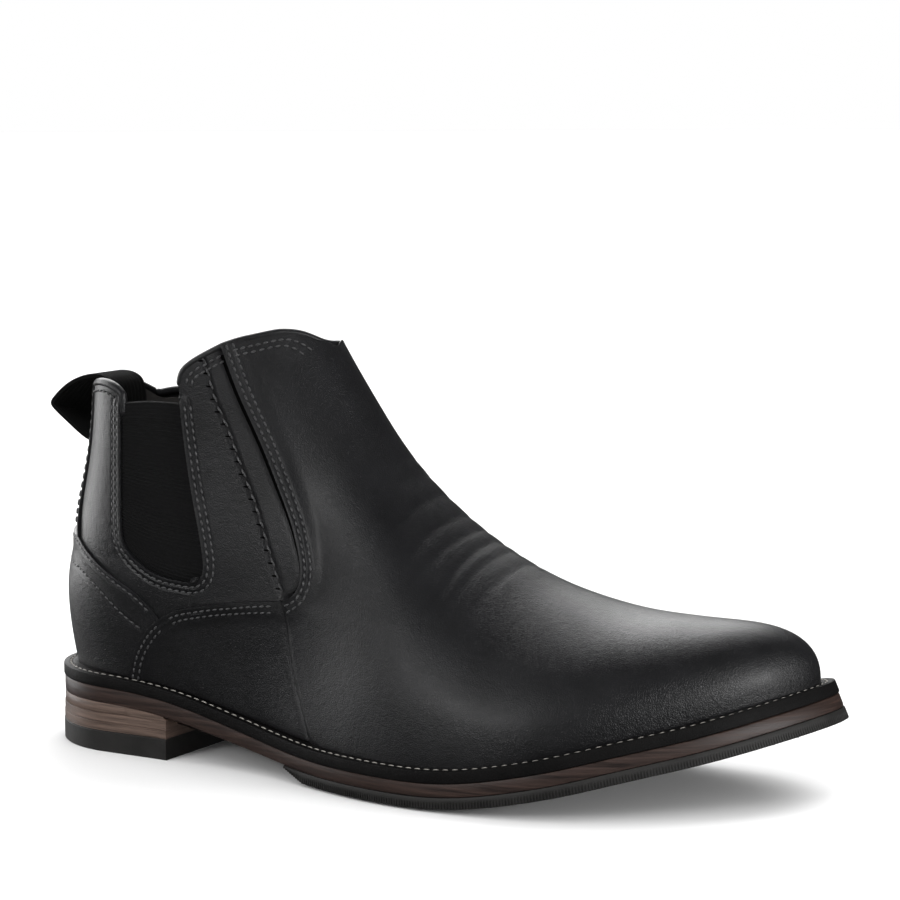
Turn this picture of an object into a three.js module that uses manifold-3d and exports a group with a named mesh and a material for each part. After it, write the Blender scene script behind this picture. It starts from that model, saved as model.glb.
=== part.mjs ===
// Chelsea boot, right foot, as an assembly of separate closed solids, in millimetres.
// X runs from the heel to the toe, +Y is the inner (medial) side, -Y the outer (lateral) side,
// and Z is up from the floor. The whole upper is drawn on one surface, the last: its half-breadth
// is a function of the side view (x, z), so each panel is outlined in the side view and laid on it.
import * as THREE from 'three';
import Module from 'manifold-3d';

// ---------- driving sizes ----------
const SOLE_LENGTH = 300;       // welt, heel to toe, along X
const BALL_WIDTH = 113;        // sole across the ball of the foot
const HEEL_RISE = 14.8;        // heel seat above the ball
const TOE_SPRING = 26.5;       // toe above the ball
const UPPER_HEIGHT = 137;      // welt to the highest point of the collar
const MEDIAL_DROP = 11;        // how much lower the collar is on the inner side

const WELT_THICKNESS = 4.4;
const MIDSOLE_THICKNESS = 4.6;
const OUTSOLE_THICKNESS = 4.6;
const LAYER_GAP = 0.2;        // glue line between two layers of the sole
const WELT_BAND = 14;          // width of the welt strip, edge to inner rim
const SOLE_EDGE = { heel: 3.6, side: 5.0, toe: 7.0 };   // how far the welt stands out of the upper

const HEEL_LENGTH = 64;        // back edge to the breast
const TOP_PIECE_THICKNESS = 7.8;
const LIFT_COUNT = 2;
const WEDGE_FRONT = 1.2;       // heel wedge where it ends at the breast
const HEEL_FLARE = 0.8;        // how far the heel grows to the floor
const HEEL_INSET = 0.5;        // heel stack from the edge of the welt

const NAIL_DIAMETER = 2.2;
const NAIL_CLEARANCE = 0.3;    // all round, in the bores
const NAIL_LENGTH = 11;
const NAIL_INSET = 11;         // from the edge of the heel
const NAIL_SINK = 1.5;         // heads below the tread

const LEATHER = 1.6;           // outer leather
const LINING = 1.0;
const LINING_GAP = 0.9;        // outer leather to lining
const STIFFENER = 1.0;         // toe puff and heel stiffener
const PANEL_GAP = 0.45;        // half of the gap between two panels, seen from the side
const INSOLE_THICKNESS = 2.2;
const SOCK_THICKNESS = 3.0;
const FOOTBED_LIFT = 4;        // height at which the footbed's outline is taken
const SEAT_GAP = 0.3;          // clearance between stacked inner parts

const SHANK = { from: 30, to: 126, width: 14, thickness: 1.6, depth: 0.8 };
const FILLER = { from: 134, to: 279, thickness: 3.2 };

const TAPE_WIDTH = 20;
const TAPE_THICKNESS = 1.5;
const TAPE_CLEARANCE = 0.35;

// ---------- nominal last, and its scales ----------
const LAST_LENGTH = 300;
const LAST_WIDTH = 113;
const LAST_HEIGHT = 137;
const SX = SOLE_LENGTH / LAST_LENGTH;
const SY = BALL_WIDTH / LAST_WIDTH;
const SZ = UPPER_HEIGHT / LAST_HEIGHT;
const FOREPART = WELT_THICKNESS + MIDSOLE_THICKNESS + OUTSOLE_THICKNESS + 2 * LAYER_GAP;

// Natural cubic spline through [x, y] stations, straight outside them.
function fair(stations) {
  const xs = stations.map((s) => s[0]);
  const ys = stations.map((s) => s[1]);
  const n = xs.length;
  const h = xs.slice(1).map((x, i) => x - xs[i]);
  const m = new Array(n).fill(0);
  const a = new Array(n).fill(0);
  const r = new Array(n).fill(0);
  for (let i = 1; i < n - 1; i += 1) {
    const slope = (ys[i + 1] - ys[i]) / h[i] - (ys[i] - ys[i - 1]) / h[i - 1];
    const pivot = 2 * (h[i - 1] + h[i]) - h[i - 1] * a[i - 1];
    a[i] = h[i] / pivot;
    r[i] = (6 * slope - h[i - 1] * r[i - 1]) / pivot;
  }
  for (let i = n - 2; i > 0; i -= 1) m[i] = r[i] - a[i] * m[i + 1];
  return (x) => {
    let i = 0;
    while (i < n - 2 && x > xs[i + 1]) i += 1;
    const slope = (ys[i + 1] - ys[i]) / h[i] - (h[i] * (2 * m[i] + m[i + 1])) / 6;
    const t = x - xs[i];
    if (x < xs[0]) return ys[0] + slope * t;
    if (x > xs[n - 1]) {
      const end = (ys[n - 1] - ys[n - 2]) / h[n - 2] + (h[n - 2] * m[n - 2]) / 6;
      return ys[n - 1] + end * (x - xs[n - 1]);
    }
    return ys[i] + slope * t + (m[i] / 2) * t * t + ((m[i + 1] - m[i]) / (6 * h[i])) * t ** 3;
  };
}

const clamp01 = (t) => Math.min(1, Math.max(0, t));
const ease = (a, b, x) => {
  const t = clamp01((x - a) / (b - a));
  return t * t * (3 - 2 * t);
};
const lerp = (a, b, t) => a + (b - a) * t;
// 1 before `from`, falling to 0 at `to` as a superellipse quarter
const roundOff = (x, from, to, p, q) => (1 - clamp01((x - from) / (to - from)) ** p) ** (1 / q);

// Shape of the last: shares of the rise and the spring, then plan, back and top lines.
const riseShare = fair([[0, 1], [30, 0.986], [50, 0.92], [70, 0.75], [90, 0.473], [110, 0.196],
  [130, 0.027], [150, 0], [170, 0], [300, 0]]);
const springShare = fair([[0, 0], [150, 0], [170, 0], [185, 0.015], [200, 0.075], [215, 0.18],
  [230, 0.31], [245, 0.46], [260, 0.6], [275, 0.74], [290, 0.89], [304, 1.03]]);
const centreLine = fair([[0, -2], [60, -2], [120, 0], [180, 3], [230, 9], [270, 16], [296, 22]]);
const outerLine = fair([[0, -31], [30, -33], [60, -34.5], [90, -37], [110, -40], [130, -46],
  [150, -52.5], [170, -56.5], [190, -57.5], [210, -55.5], [230, -51], [250, -43], [270, -35], [300, -24]]);
const innerLine = fair([[0, 27.5], [30, 29.5], [60, 29.5], [90, 26.5], [110, 26.5], [130, 29],
  [150, 34], [170, 40], [190, 44.5], [210, 47.3], [230, 48.3], [250, 48], [270, 47], [300, 45]]);
const topLine = fair([[105, 148.4], [117, 131.8], [128, 117.1], [138, 103.6], [148, 92.2], [158, 82.7],
  [168, 74.6], [178, 67.7], [198, 55.7], [214, 47.5], [232, 39.5], [250, 33.2], [266, 28.2],
  [280, 23.7], [296, 18.1]]);
const backLine = fair([[-8.6, 6], [1.4, 3.8], [13.4, 2.2], [23.4, 2], [33.4, 3], [45.4, 6.2],
  [57.4, 10], [71.4, 14], [86.4, 17], [103.4, 18.8], [121.4, 19.5]]);
const shaftLine = fair([[-8.6, 34], [11.4, 36.5], [31.4, 37.5], [51.4, 37], [71.4, 35.5],
  [91.4, 34.5], [111.4, 34.3], [131.4, 34.3]]);
const BACK_CENTRE = 48;        // where the rounding of the back begins
const TOE_END = 292.5;         // front of the upper

// Height of the welt's top over the floor, and the upper's lines above it, in real sizes.
const weltTop = (x) => FOREPART + HEEL_RISE * riseShare(x / SX) + TOE_SPRING * springShare(x / SX);
const SEAT = weltTop(0);
const centre = (x) => SY * centreLine(x / SX);
function edgeOfFoot(x, side) {
  const u = x / SX;
  const line = side < 0 ? outerLine(u) : innerLine(u);
  const round = side < 0 ? roundOff(u, 205, TOE_END, 2.3, 1.7) : roundOff(u, 245, TOE_END, 2.6, 2);
  return SY * Math.abs(line - centreLine(u)) * round;
}
const ridge = (x) => weltTop(x) + SZ * topLine(x / SX) * roundOff(x / SX, 256, TOE_END, 3.4, 2.8);
const back = (z) => SX * backLine((z - SEAT) / SZ);
function front(z) {
  let near = 95 * SX;
  let far = TOE_END * SX;
  for (let i = 0; i < 34; i += 1) {
    const mid = (near + far) / 2;
    if (ridge(mid) > z) near = mid;
    else far = mid;
  }
  return (near + far) / 2;
}

// Half-breadth of the last seen at (x, z), from its centre line to one side: -1 lateral, +1 medial.
function halfBreadth(x, z, side) {
  const rise = z - weltTop(x);
  const fore = ease(90 * SX, 170 * SX, x);
  const foot = edgeOfFoot(x, side);
  const ankle = SY * shaftLine((z - SEAT) / SZ);
  const up = clamp01(rise / (55 * SZ));
  const bulge = 2.2 * Math.sin(Math.PI * clamp01(rise / (45 * SZ))) * (1 - ease(40 * SX, 110 * SX, x));
  const breadth = lerp(foot, ankle, ease(0, 1, up) * (1 - fore)) + bulge;
  const q = clamp01(rise / Math.max(ridge(x) - weltTop(x), 1e-6));
  const over = Math.sqrt(1 - q ** (2.1 + 0.5 * ease(200 * SX, 270 * SX, x)));
  const u = clamp01((x - BACK_CENTRE * SX) / Math.max(front(z) - BACK_CENTRE * SX, 1e-6));
  const shin = Math.sqrt(1 - u ** 2.2);
  const v = clamp01((BACK_CENTRE * SX - x) / (BACK_CENTRE * SX - back(z)));
  const calf = Math.sqrt(1 - v * v);
  return breadth * lerp(shin, over, fore) * calf;
}

// Point of the last and its outward normal. The normal is the gradient of (y - centre)^2 - breadth^2,
// which stays regular on the ridge and on the back line, where the breadth is nought.
function lastPoint(x, z, side) {
  const h = 0.2;
  const square = (a, b) => halfBreadth(a, b, side) ** 2;
  const across = side * halfBreadth(x, z, side);
  const bow = (centre(x + h) - centre(x - h)) / (2 * h);
  const point = new THREE.Vector3(x, centre(x) + across, z);
  point.normal = new THREE.Vector3(
    -2 * across * bow - (square(x + h, z) - square(x - h, z)) / (2 * h),
    2 * across,
    -(square(x, z + h) - square(x, z - h)) / (2 * h),
  ).normalize();
  return point;
}

// ---------- meshes ----------
const parts = new Map();
function material(color, roughness, metalness = 0) {
  return new THREE.MeshStandardMaterial({ color, roughness, metalness });
}
const BLACK_LEATHER = material(0x1b1b1d, 0.42);
const BLACK_ELASTIC = material(0x101011, 0.85);
const BLACK_RUBBER = material(0x1e1d1c, 0.75);
const STACKED_BROWN = material(0x6b5242, 0.6);
const WELT_BLACK = material(0x1d1c1c, 0.55);
const LINING_GREY = material(0x2b2a2a, 0.9);
const BOARD_TAN = material(0xa98d68, 0.9);
const CORK_TAN = material(0x8a6a45, 0.95);
const STEEL = material(0x9a9ca0, 0.35, 1);

// Triangles are collected as points; equal points are merged and flat slivers dropped.
class Soup {
  constructor() {
    this.keys = new Map();
    this.points = [];
    this.faces = [];
  }

  index(p) {
    const key = `${Math.round(p.x * 2e3)},${Math.round(p.y * 2e3)},${Math.round(p.z * 2e3)}`;
    if (!this.keys.has(key)) {
      this.keys.set(key, this.points.length);
      this.points.push(p.clone());
    }
    return this.keys.get(key);
  }

  tri(a, b, c) {
    const [i, j, k] = [a, b, c].map((p) => this.index(p));
    if (i !== j && j !== k && k !== i) this.faces.push([i, j, k]);
  }

  quad(a, b, c, d) {
    this.tri(a, b, c);
    this.tri(a, c, d);
  }

  volume() {
    return this.faces.reduce((sum, [i, j, k]) => {
      const cross = this.points[j].clone().cross(this.points[k]);
      return sum + this.points[i].dot(cross) / 6;
    }, 0);
  }

  geometry() {
    const flip = this.volume() < 0;
    const index = this.faces.flatMap(([i, j, k]) => (flip ? [i, k, j] : [i, j, k]));
    const position = this.points.flatMap((p) => [p.x, p.y, p.z]);
    const geometry = new THREE.BufferGeometry();
    geometry.setAttribute('position', new THREE.Float32BufferAttribute(position, 3));
    geometry.setIndex(index);
    return geometry;
  }
}

function add(name, geometry, look) {
  parts.set(name, new THREE.Mesh(geometry, look));
}

// Closed sheet between two depths under a grid of points; `capped` closes the last row with a fan.
function sheet(grid, depth, thickness, capped = false) {
  const offset = (d) => grid.map((row) => row.map((p) => {
    const q = p.clone().addScaledVector(p.normal, -(typeof d === 'function' ? d(p) : d));
    q.z = Math.max(q.z, weltTop(q.x) + SEAT_GAP);
    return q;
  }));
  const outer = offset(depth);
  const inner = offset(typeof depth === 'function' ? (p) => depth(p) + thickness : depth + thickness);
  const soup = new Soup();
  const rows = grid.length;
  const cols = grid[0].length;
  for (let i = 0; i < rows - 1; i += 1) {
    for (let j = 0; j < cols - 1; j += 1) {
      soup.quad(outer[i][j], outer[i + 1][j], outer[i + 1][j + 1], outer[i][j + 1]);
      soup.quad(inner[i][j], inner[i][j + 1], inner[i + 1][j + 1], inner[i + 1][j]);
    }
  }
  for (let i = 0; i < rows - 1; i += 1) {
    soup.quad(outer[i][0], inner[i][0], inner[i + 1][0], outer[i + 1][0]);
    soup.quad(outer[i][cols - 1], outer[i + 1][cols - 1], inner[i + 1][cols - 1], inner[i][cols - 1]);
  }
  for (let j = 0; j < cols - 1; j += 1) {
    soup.quad(outer[0][j], outer[0][j + 1], inner[0][j + 1], inner[0][j]);
  }
  if (capped) {
    const middle = (ring) => ring.reduce((s, p) => s.add(p), new THREE.Vector3()).divideScalar(cols);
    const outerMiddle = middle(outer[rows - 1]);
    const innerMiddle = middle(inner[rows - 1]);
    for (let j = 0; j < cols - 1; j += 1) {
      soup.tri(outer[rows - 1][j], outerMiddle, outer[rows - 1][j + 1]);
      soup.tri(inner[rows - 1][j], inner[rows - 1][j + 1], innerMiddle);
    }
    soup.tri(outer[rows - 1][cols - 1], outerMiddle, inner[rows - 1][cols - 1]);
    soup.tri(outerMiddle, innerMiddle, inner[rows - 1][cols - 1]);
    soup.tri(outer[rows - 1][0], inner[rows - 1][0], outerMiddle);
    soup.tri(outerMiddle, inner[rows - 1][0], innerMiddle);
  } else {
    for (let j = 0; j < cols - 1; j += 1) {
      soup.quad(outer[rows - 1][j], inner[rows - 1][j], inner[rows - 1][j + 1], outer[rows - 1][j + 1]);
    }
  }
  return soup.geometry();
}

// ---------- lines of the pattern, [x, height above the welt], on the nominal last ----------
const COLLAR_FRONT = [[116.6, 131.8], [113.4, 134.3], [109.4, 136.3], [104, 137], [97.3, 135.1],
  [91.3, 132.4], [85.5, 129]];
const COLLAR_QUARTER = [[69.8, 111], [70.8, 116], [74.2, 120.2], [79.7, 124.6], [85.5, 129]];
const VAMP_EDGE = [[85.5, 129], [92.5, 113.8], [101, 99], [109, 84.8], [116.2, 72], [120.3, 61.8],
  [121.2, 56.6], [120.2, 51.5], [117.5, 48], [114.4, 46]];
const SEAM_FOOT = 128;         // where the side seam meets the welt
const SIDE_SEAM = [[114.4, 46], [116.2, 33.6], [119.6, 20.3], [123.7, 10.4], [SEAM_FOOT, 0.3]];
const GORE_TOP = [[45.3, 100.8], [53, 102.4], [62, 103.8], [70.6, 104.6]];
const GORE_FRONT = [[70.6, 104.6], [71.6, 96.4], [74.7, 79.3], [77.3, 69], [79.9, 59], [81.8, 49],
  [80.6, 44.2]];
const GORE_FOOT = [[51, 47.2], [54.6, 44.8], [60.9, 42.3], [67.3, 41.7], [75.4, 42.4], [80.6, 44.2]];
const GORE_BACK = [[45.3, 100.8], [45.1, 88.4], [45.3, 74], [46.3, 56], [47.9, 50.4], [51, 47.2]];
const QUARTER_SEAM = [[75.4, 42.4], [75.6, 38], [75.8, 33.3]];
const FOXING_TOP = [[62.2, 26], [69.5, 30.6], [75.8, 33.3], [83.9, 36.6], [92.2, 39.6], [102.2, 43],
  [114.4, 46]];
const FOXING_FOOT = 45.6;      // where the foxing's back edge meets the welt
const FOXING_BACK = [[62.2, 26], [57, 21.2], [52.4, 15.4], [48.6, 9], [FOXING_FOOT, 0.3]];
const COUNTER_TOP = [[22.5, 49.6], [30.5, 44.6], [41.1, 39.2], [54.3, 32.8], [62.2, 26]];
const COUNTER_PEAK = 51.4;     // height of the counter's top line at the back seam
const BACKSTAY_EDGE = [[23.2, 105.2], [22.2, 92], [20.4, 74], [20.2, 60], [22.5, 49.6]];
const QUARTER_CORNER = [45.3, 104.5];      // top of the back quarter, over the gore
const COLLAR_CORNER = [69.8, 111];         // top of the front quarter, over the gore
const BACK_TOP = [[23.2, 105.2], [30, 107], [37, 107.6], [42.5, 106.4], QUARTER_CORNER];
const BACK_RIM = 104;          // height of the collar at the back seam
const LINING_REAR = 45;        // where the side lining meets the heel lining
const LINING_RIM = 100.4;      // height of the lining there

const sideView = (x, up) => new THREE.Vector2(x * SX, weltTop(x * SX) + up * SZ);
const smoothLine = (points, count = 24) => {
  return new THREE.SplineCurve(points.map(([x, up]) => sideView(x, up))).getPoints(count);
};
const chain = (...lines) => lines.flatMap((line, i) => (i ? line.slice(1) : line));
const straightDown = (x, from, to, count = 12) => Array.from({ length: count + 1 }, (_, i) => {
  return sideView(x, lerp(from, to, i / count));
});
// along the welt, between two stations
const feather = (from, to, count = 40) => Array.from({ length: count + 1 }, (_, i) => {
  return sideView(lerp(from, to, i / count), SEAT_GAP / SZ);
});
const backSeam = (from, to, count = 24) => Array.from({ length: count + 1 }, (_, i) => {
  const z = SEAT + SZ * lerp(from, to, i / count);
  return new THREE.Vector2(back(z) + 1e-4, z);
});
const ridgeLine = (from, to, count = 80) => Array.from({ length: count + 1 }, (_, i) => {
  const x = SX * (to - (to - from) * (1 - i / count) ** 1.7);
  return new THREE.Vector2(x, ridge(x) - 1e-4);
});

// Points along a line by their share of its length
function along(line) {
  const reach = [0];
  for (let i = 1; i < line.length; i += 1) reach.push(reach[i - 1] + line[i].distanceTo(line[i - 1]));
  const total = reach[reach.length - 1];
  return (share) => {
    let i = 1;
    while (i < line.length - 1 && reach[i] < share * total) i += 1;
    const t = (share * total - reach[i - 1]) / Math.max(reach[i] - reach[i - 1], 1e-9);
    return line[i - 1].clone().lerp(line[i], clamp01(t));
  };
}

// Shares of a chain of lines at which its rows lie: so many rows on each line, evenly spaced, or
// gathered towards the end of the last one.
function stops(lines, counts, gatherLast = 1) {
  const lengths = lines.map((line) => line.slice(1).reduce((sum, p, i) => sum + p.distanceTo(line[i]), 0));
  const total = lengths.reduce((sum, length) => sum + length, 0);
  const shares = [0];
  let before = 0;
  lengths.forEach((length, k) => {
    const power = k === lengths.length - 1 ? gatherLast : 1;
    for (let i = 1; i <= counts[k]; i += 1) {
      shares.push((before + length * (1 - (1 - i / counts[k]) ** power)) / total);
    }
    before += length;
  });
  return shares;
}

// Moves the points of an edge square to it, by the panel gap, towards the next line inwards.
function drawBack(edge, inner) {
  const from = edge.map((p) => p.clone());
  edge.forEach((p, i) => {
    const run = from[Math.min(i + 1, from.length - 1)].clone().sub(from[Math.max(i - 1, 0)]);
    const square = new THREE.Vector2(-run.y, run.x).normalize();
    const inward = Math.sign(square.dot(inner[i].clone().sub(from[i])));
    p.addScaledVector(square, inward * PANEL_GAP);
  });
}

// Side-view grid between four lines. `left` and `right` are chains that run from `top` to `bottom`,
// both of which run from left to right. `rows` counts the rows on each link of the chains,
// `shares` places the columns, and `gaps` names the sides that draw back.
function patch(lines, rows, shares, gaps, gather = 1) {
  const left = along(chain(...lines.left));
  const right = along(chain(...lines.right));
  const [top, bottom] = [along(lines.top), along(lines.bottom)];
  const leftStops = stops(lines.left, rows.left ?? rows, gather);
  const rightStops = stops(lines.right, rows.right ?? rows, gather);
  const grid = leftStops.map((leftShare, i) => shares.map((u) => {
    const v = i / (leftStops.length - 1);
    const across = left(leftShare).lerp(right(rightStops[i]), u);
    const down = top(u).lerp(bottom(u), v);
    const corners = top(0).lerp(top(1), u).lerp(bottom(0).lerp(bottom(1), u), v);
    return across.add(down).sub(corners);
  }));
  const last = grid.length - 1;
  const end = shares.length - 1;
  const sides = {
    top: [grid[0], grid[1]],
    bottom: [grid[last], grid[last - 1]],
    left: [grid.map((row) => row[0]), grid.map((row) => row[1])],
    right: [grid.map((row) => row[end]), grid.map((row) => row[end - 1])],
  };
  gaps.forEach((side) => drawBack(...sides[side]));
  return grid;
}
const even = (count) => Array.from({ length: count + 1 }, (_, i) => i / count);
const gathered = (count) => even(count).map((t) => t * t);          // close together at the first
const ALL_SIDES = ['top', 'bottom', 'left', 'right'];

// Point of the pattern laid on the last. The inner side is let down towards the collar, except at the
// ridge and the back seam, where both sides meet.
function laid(p, side) {
  if (side < 0) return lastPoint(p.x, p.y, side);
  const up = (p.y - weltTop(p.x)) / SZ;
  const along = 0.62 * ease(18.5 * SX, 25 * SX, p.x) + 0.38 * ease(26 * SX, 46 * SX, p.x);
  const share = ease(66, 104, up) * along * ease(0, 7 * SZ, ridge(p.x) - p.y);
  return lastPoint(p.x, p.y - MEDIAL_DROP * share, side);
}

function sidePanel(lines, rows, cols, side, depth, thickness, gaps = ALL_SIDES) {
  const grid = patch(lines, rows, even(cols), gaps);
  return sheet(grid.map((row) => row.map((p) => laid(p, side))), depth, thickness);
}

// Panel on both sides at once: its left line is the middle of the boot, where it turns over.
function wrapPanel(lines, rows, cols, depth, thickness, { gaps = [], capped = false } = {}) {
  const half = patch(lines, rows, gathered(cols), gaps, capped ? 1.6 : 1);
  const grid = half.map((row) => [
    ...row.slice(1).reverse().map((p) => laid(p, -1)),
    ...row.map((p) => laid(p, 1)),
  ]);
  return sheet(grid, depth, thickness, capped);
}

// Depth of the lining under the outer leather: greater where the toe puff or the stiffener lies.
const LINING_DEPTH = LEATHER + LINING_GAP;
const STIFFENER_DEPTH = LEATHER + LINING_GAP * 0.75;
const stiffened = (x) => Math.max(ease(212 * SX, 228 * SX, x), 1 - ease(74 * SX, 92 * SX, x));
const liningDepth = (p) => LINING_DEPTH + (STIFFENER + LINING_GAP) * stiffened(p.x);

// ---------- upper ----------
const TOE_FRONT = TOE_END - 0.25;
const toeEnd = () => [new THREE.Vector2(TOE_FRONT * SX, ridge(TOE_FRONT * SX) - 1e-4),
  sideView(TOE_FRONT, SEAT_GAP / SZ)];
const EDGE_ROWS = 13;          // rows of every panel along the vamp's edge
const SEAM_ROWS = 4;           // and along the side seam
const vampLines = () => ({
  left: [ridgeLine(116.6, 174), ridgeLine(174, 204), ridgeLine(204, TOE_FRONT)],
  right: [smoothLine(VAMP_EDGE), smoothLine(SIDE_SEAM), feather(SEAM_FOOT, TOE_FRONT)],
  top: smoothLine(COLLAR_FRONT),
  bottom: toeEnd(),
});

function makeVamp() {
  const form = { gaps: ['right'], capped: true };
  const rows = [EDGE_ROWS, SEAM_ROWS, 13];
  add('vamp', wrapPanel(vampLines(), rows, 9, 0, LEATHER, form), BLACK_LEATHER);
  add('vamp_lining', wrapPanel(vampLines(), rows, 9, liningDepth, LINING, form), LINING_GREY);
  const puff = {
    left: [ridgeLine(230, TOE_FRONT)],
    right: [feather(230, TOE_FRONT)],
    top: [sideView(230, 0).setY(ridge(230 * SX) - 1e-4), sideView(230, SEAT_GAP / SZ)],
    bottom: toeEnd(),
  };
  add('toe_puff', wrapPanel(puff, [9], 7, STIFFENER_DEPTH, STIFFENER, { capped: true }), BOARD_TAN);
}

function makeSide(side, name) {
  const frontQuarter = {
    left: [[sideView(...COLLAR_CORNER), ...smoothLine(GORE_FRONT)],
      smoothLine(GORE_FOOT.slice(4).reverse(), 4), smoothLine(QUARTER_SEAM)],
    right: [smoothLine(VAMP_EDGE)],
    top: smoothLine(COLLAR_QUARTER),
    bottom: smoothLine(FOXING_TOP.slice(2)),
  };
  const quarterRows = { left: [EDGE_ROWS - 3, 1, 2], right: [EDGE_ROWS] };
  const quarter = sidePanel(frontQuarter, quarterRows, 6, side, 0, LEATHER);
  add(`front_quarter_${name}`, quarter, BLACK_LEATHER);

  const backQuarter = {
    left: [smoothLine(BACKSTAY_EDGE), smoothLine(COUNTER_TOP), smoothLine(FOXING_TOP.slice(0, 3))],
    right: [[sideView(...QUARTER_CORNER), ...smoothLine(GORE_BACK)], smoothLine(GORE_FOOT.slice(0, 5))],
    top: smoothLine(BACK_TOP),
    bottom: smoothLine([...QUARTER_SEAM].reverse()),
  };
  const backRows = { left: [7, 6, 2], right: [9, 6] };
  add(`back_quarter_${name}`, sidePanel(backQuarter, backRows, 5, side, 0, LEATHER), BLACK_LEATHER);

  const gore = {
    left: [smoothLine(GORE_BACK)],
    right: [smoothLine(GORE_FRONT)],
    top: smoothLine(GORE_TOP),
    bottom: smoothLine(GORE_FOOT),
  };
  add(`gore_${name}`, sidePanel(gore, [9], 6, side, 0, LEATHER), BLACK_ELASTIC);

  const foxing = {
    left: [smoothLine(FOXING_BACK)],
    right: [smoothLine(SIDE_SEAM)],
    top: smoothLine(FOXING_TOP),
    bottom: feather(FOXING_FOOT, SEAM_FOOT),
  };
  const foxingPanel = sidePanel(foxing, [SEAM_ROWS], 12, side, 0, LEATHER, ['top', 'left', 'right']);
  add(`side_foxing_${name}`, foxingPanel, BLACK_LEATHER);

  const lining = {
    left: [straightDown(LINING_REAR, LINING_RIM, SEAT_GAP / SZ)],
    right: [smoothLine(VAMP_EDGE), smoothLine(SIDE_SEAM)],
    top: [sideView(LINING_REAR, LINING_RIM), ...smoothLine(GORE_TOP.slice(1, 3)), sideView(68.6, 104.4),
      ...smoothLine([[70.4, 112], ...COLLAR_QUARTER.slice(2)])],
    bottom: feather(LINING_REAR, SEAM_FOOT),
  };
  const liningRows = { left: [EDGE_ROWS + SEAM_ROWS], right: [EDGE_ROWS, SEAM_ROWS] };
  const leaf = sidePanel(lining, liningRows, 8, side, liningDepth, LINING, ['left', 'right']);
  add(`quarter_lining_${name}`, leaf, LINING_GREY);
}

const backPoint = (up) => backSeam(up, up, 1)[0];
function makeBack() {
  const foot = backPoint(0).x / SX;
  const counter = {
    left: [backSeam(COUNTER_PEAK, SEAT_GAP / SZ)],
    right: [smoothLine(FOXING_BACK)],
    top: [backPoint(COUNTER_PEAK), ...smoothLine(COUNTER_TOP)],
    bottom: feather(foot, FOXING_FOOT, 12),
  };
  const counterForm = { gaps: ['top', 'right'] };
  add('heel_counter_cover', wrapPanel(counter, [8], 7, 0, LEATHER, counterForm), BLACK_LEATHER);

  const backstay = {
    left: [backSeam(BACK_RIM, COUNTER_PEAK)],
    right: [smoothLine(BACKSTAY_EDGE)],
    top: [backPoint(BACK_RIM), sideView(23.2, 105.2)],
    bottom: [backPoint(COUNTER_PEAK), sideView(22.5, 49.6)],
  };
  add('backstay', wrapPanel(backstay, [9], 4, 0, LEATHER, { gaps: ['bottom', 'right'] }), BLACK_LEATHER);

  const stiffener = {
    left: [backSeam(42, SEAT_GAP / SZ)],
    right: [smoothLine([[40, 34], [56, 26], [66, 13], [70, 0.3]])],
    top: [backPoint(42), sideView(18, 41), sideView(40, 34)],
    bottom: feather(foot, 70, 12),
  };
  add('heel_stiffener', wrapPanel(stiffener, [6], 8, STIFFENER_DEPTH, STIFFENER), BOARD_TAN);

  const lining = {
    left: [backSeam(BACK_RIM - 1, SEAT_GAP / SZ)],
    right: [straightDown(LINING_REAR, LINING_RIM, SEAT_GAP / SZ)],
    top: [backPoint(BACK_RIM - 1), sideView(22, 103.4), sideView(34, 104.4),
      sideView(LINING_REAR, LINING_RIM)],
    bottom: feather(foot, LINING_REAR, 12),
  };
  const heelLining = wrapPanel(lining, [11], 7, liningDepth, LINING, { gaps: ['right'] });
  add('heel_lining', heelLining, LINING_GREY);
}

// ---------- sole ----------
// Points under the welt's top line, `depth` below it along the sole's own normal.
function underWelt(x, depth) {
  const slope = (weltTop(x + 0.5) - weltTop(x - 0.5));
  const norm = Math.hypot(1, slope);
  return [x + (depth * slope) / norm, weltTop(x) - depth / norm];
}
const insetPlan = (inset) => (x, side) => solePlan(x, side, inset);
function solePlan(x, side, inset) {
  const u = x / SX;
  const grow = u < 150 ? lerp(SOLE_EDGE.heel, SOLE_EDGE.side, ease(40, 150, u))
    : lerp(SOLE_EDGE.side, SOLE_EDGE.toe, ease(220, 290, u));
  const end = LAST_LENGTH - inset / SX;
  const start = inset / SX;
  const line = side < 0 ? outerLine(u) : innerLine(u);
  const width = Math.abs(SY * (line - centreLine(u))) + grow - inset;
  const toe = side < 0 ? roundOff(u, 208, end, 2.5, 1.75) : roundOff(u, 248, end, 2.8, 2.1);
  const heelRound = Math.sqrt(Math.max(0, 1 - clamp01((36 - u) / (36 - start)) ** 2.1));
  return centre(x) + side * Math.max(width, 0) * toe * heelRound;
}
function soleStations(from, to, count, roundStart, roundEnd) {
  return Array.from({ length: count + 1 }, (_, i) => {
    const t = i / count;
    let s = t;
    if (roundStart && roundEnd) s = (1 - Math.cos(Math.PI * t)) / 2;
    else if (roundEnd) s = Math.sin((Math.PI / 2) * t);
    else if (roundStart) s = 1 - Math.cos((Math.PI / 2) * t);
    return lerp(from, to, s);
  });
}

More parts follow.
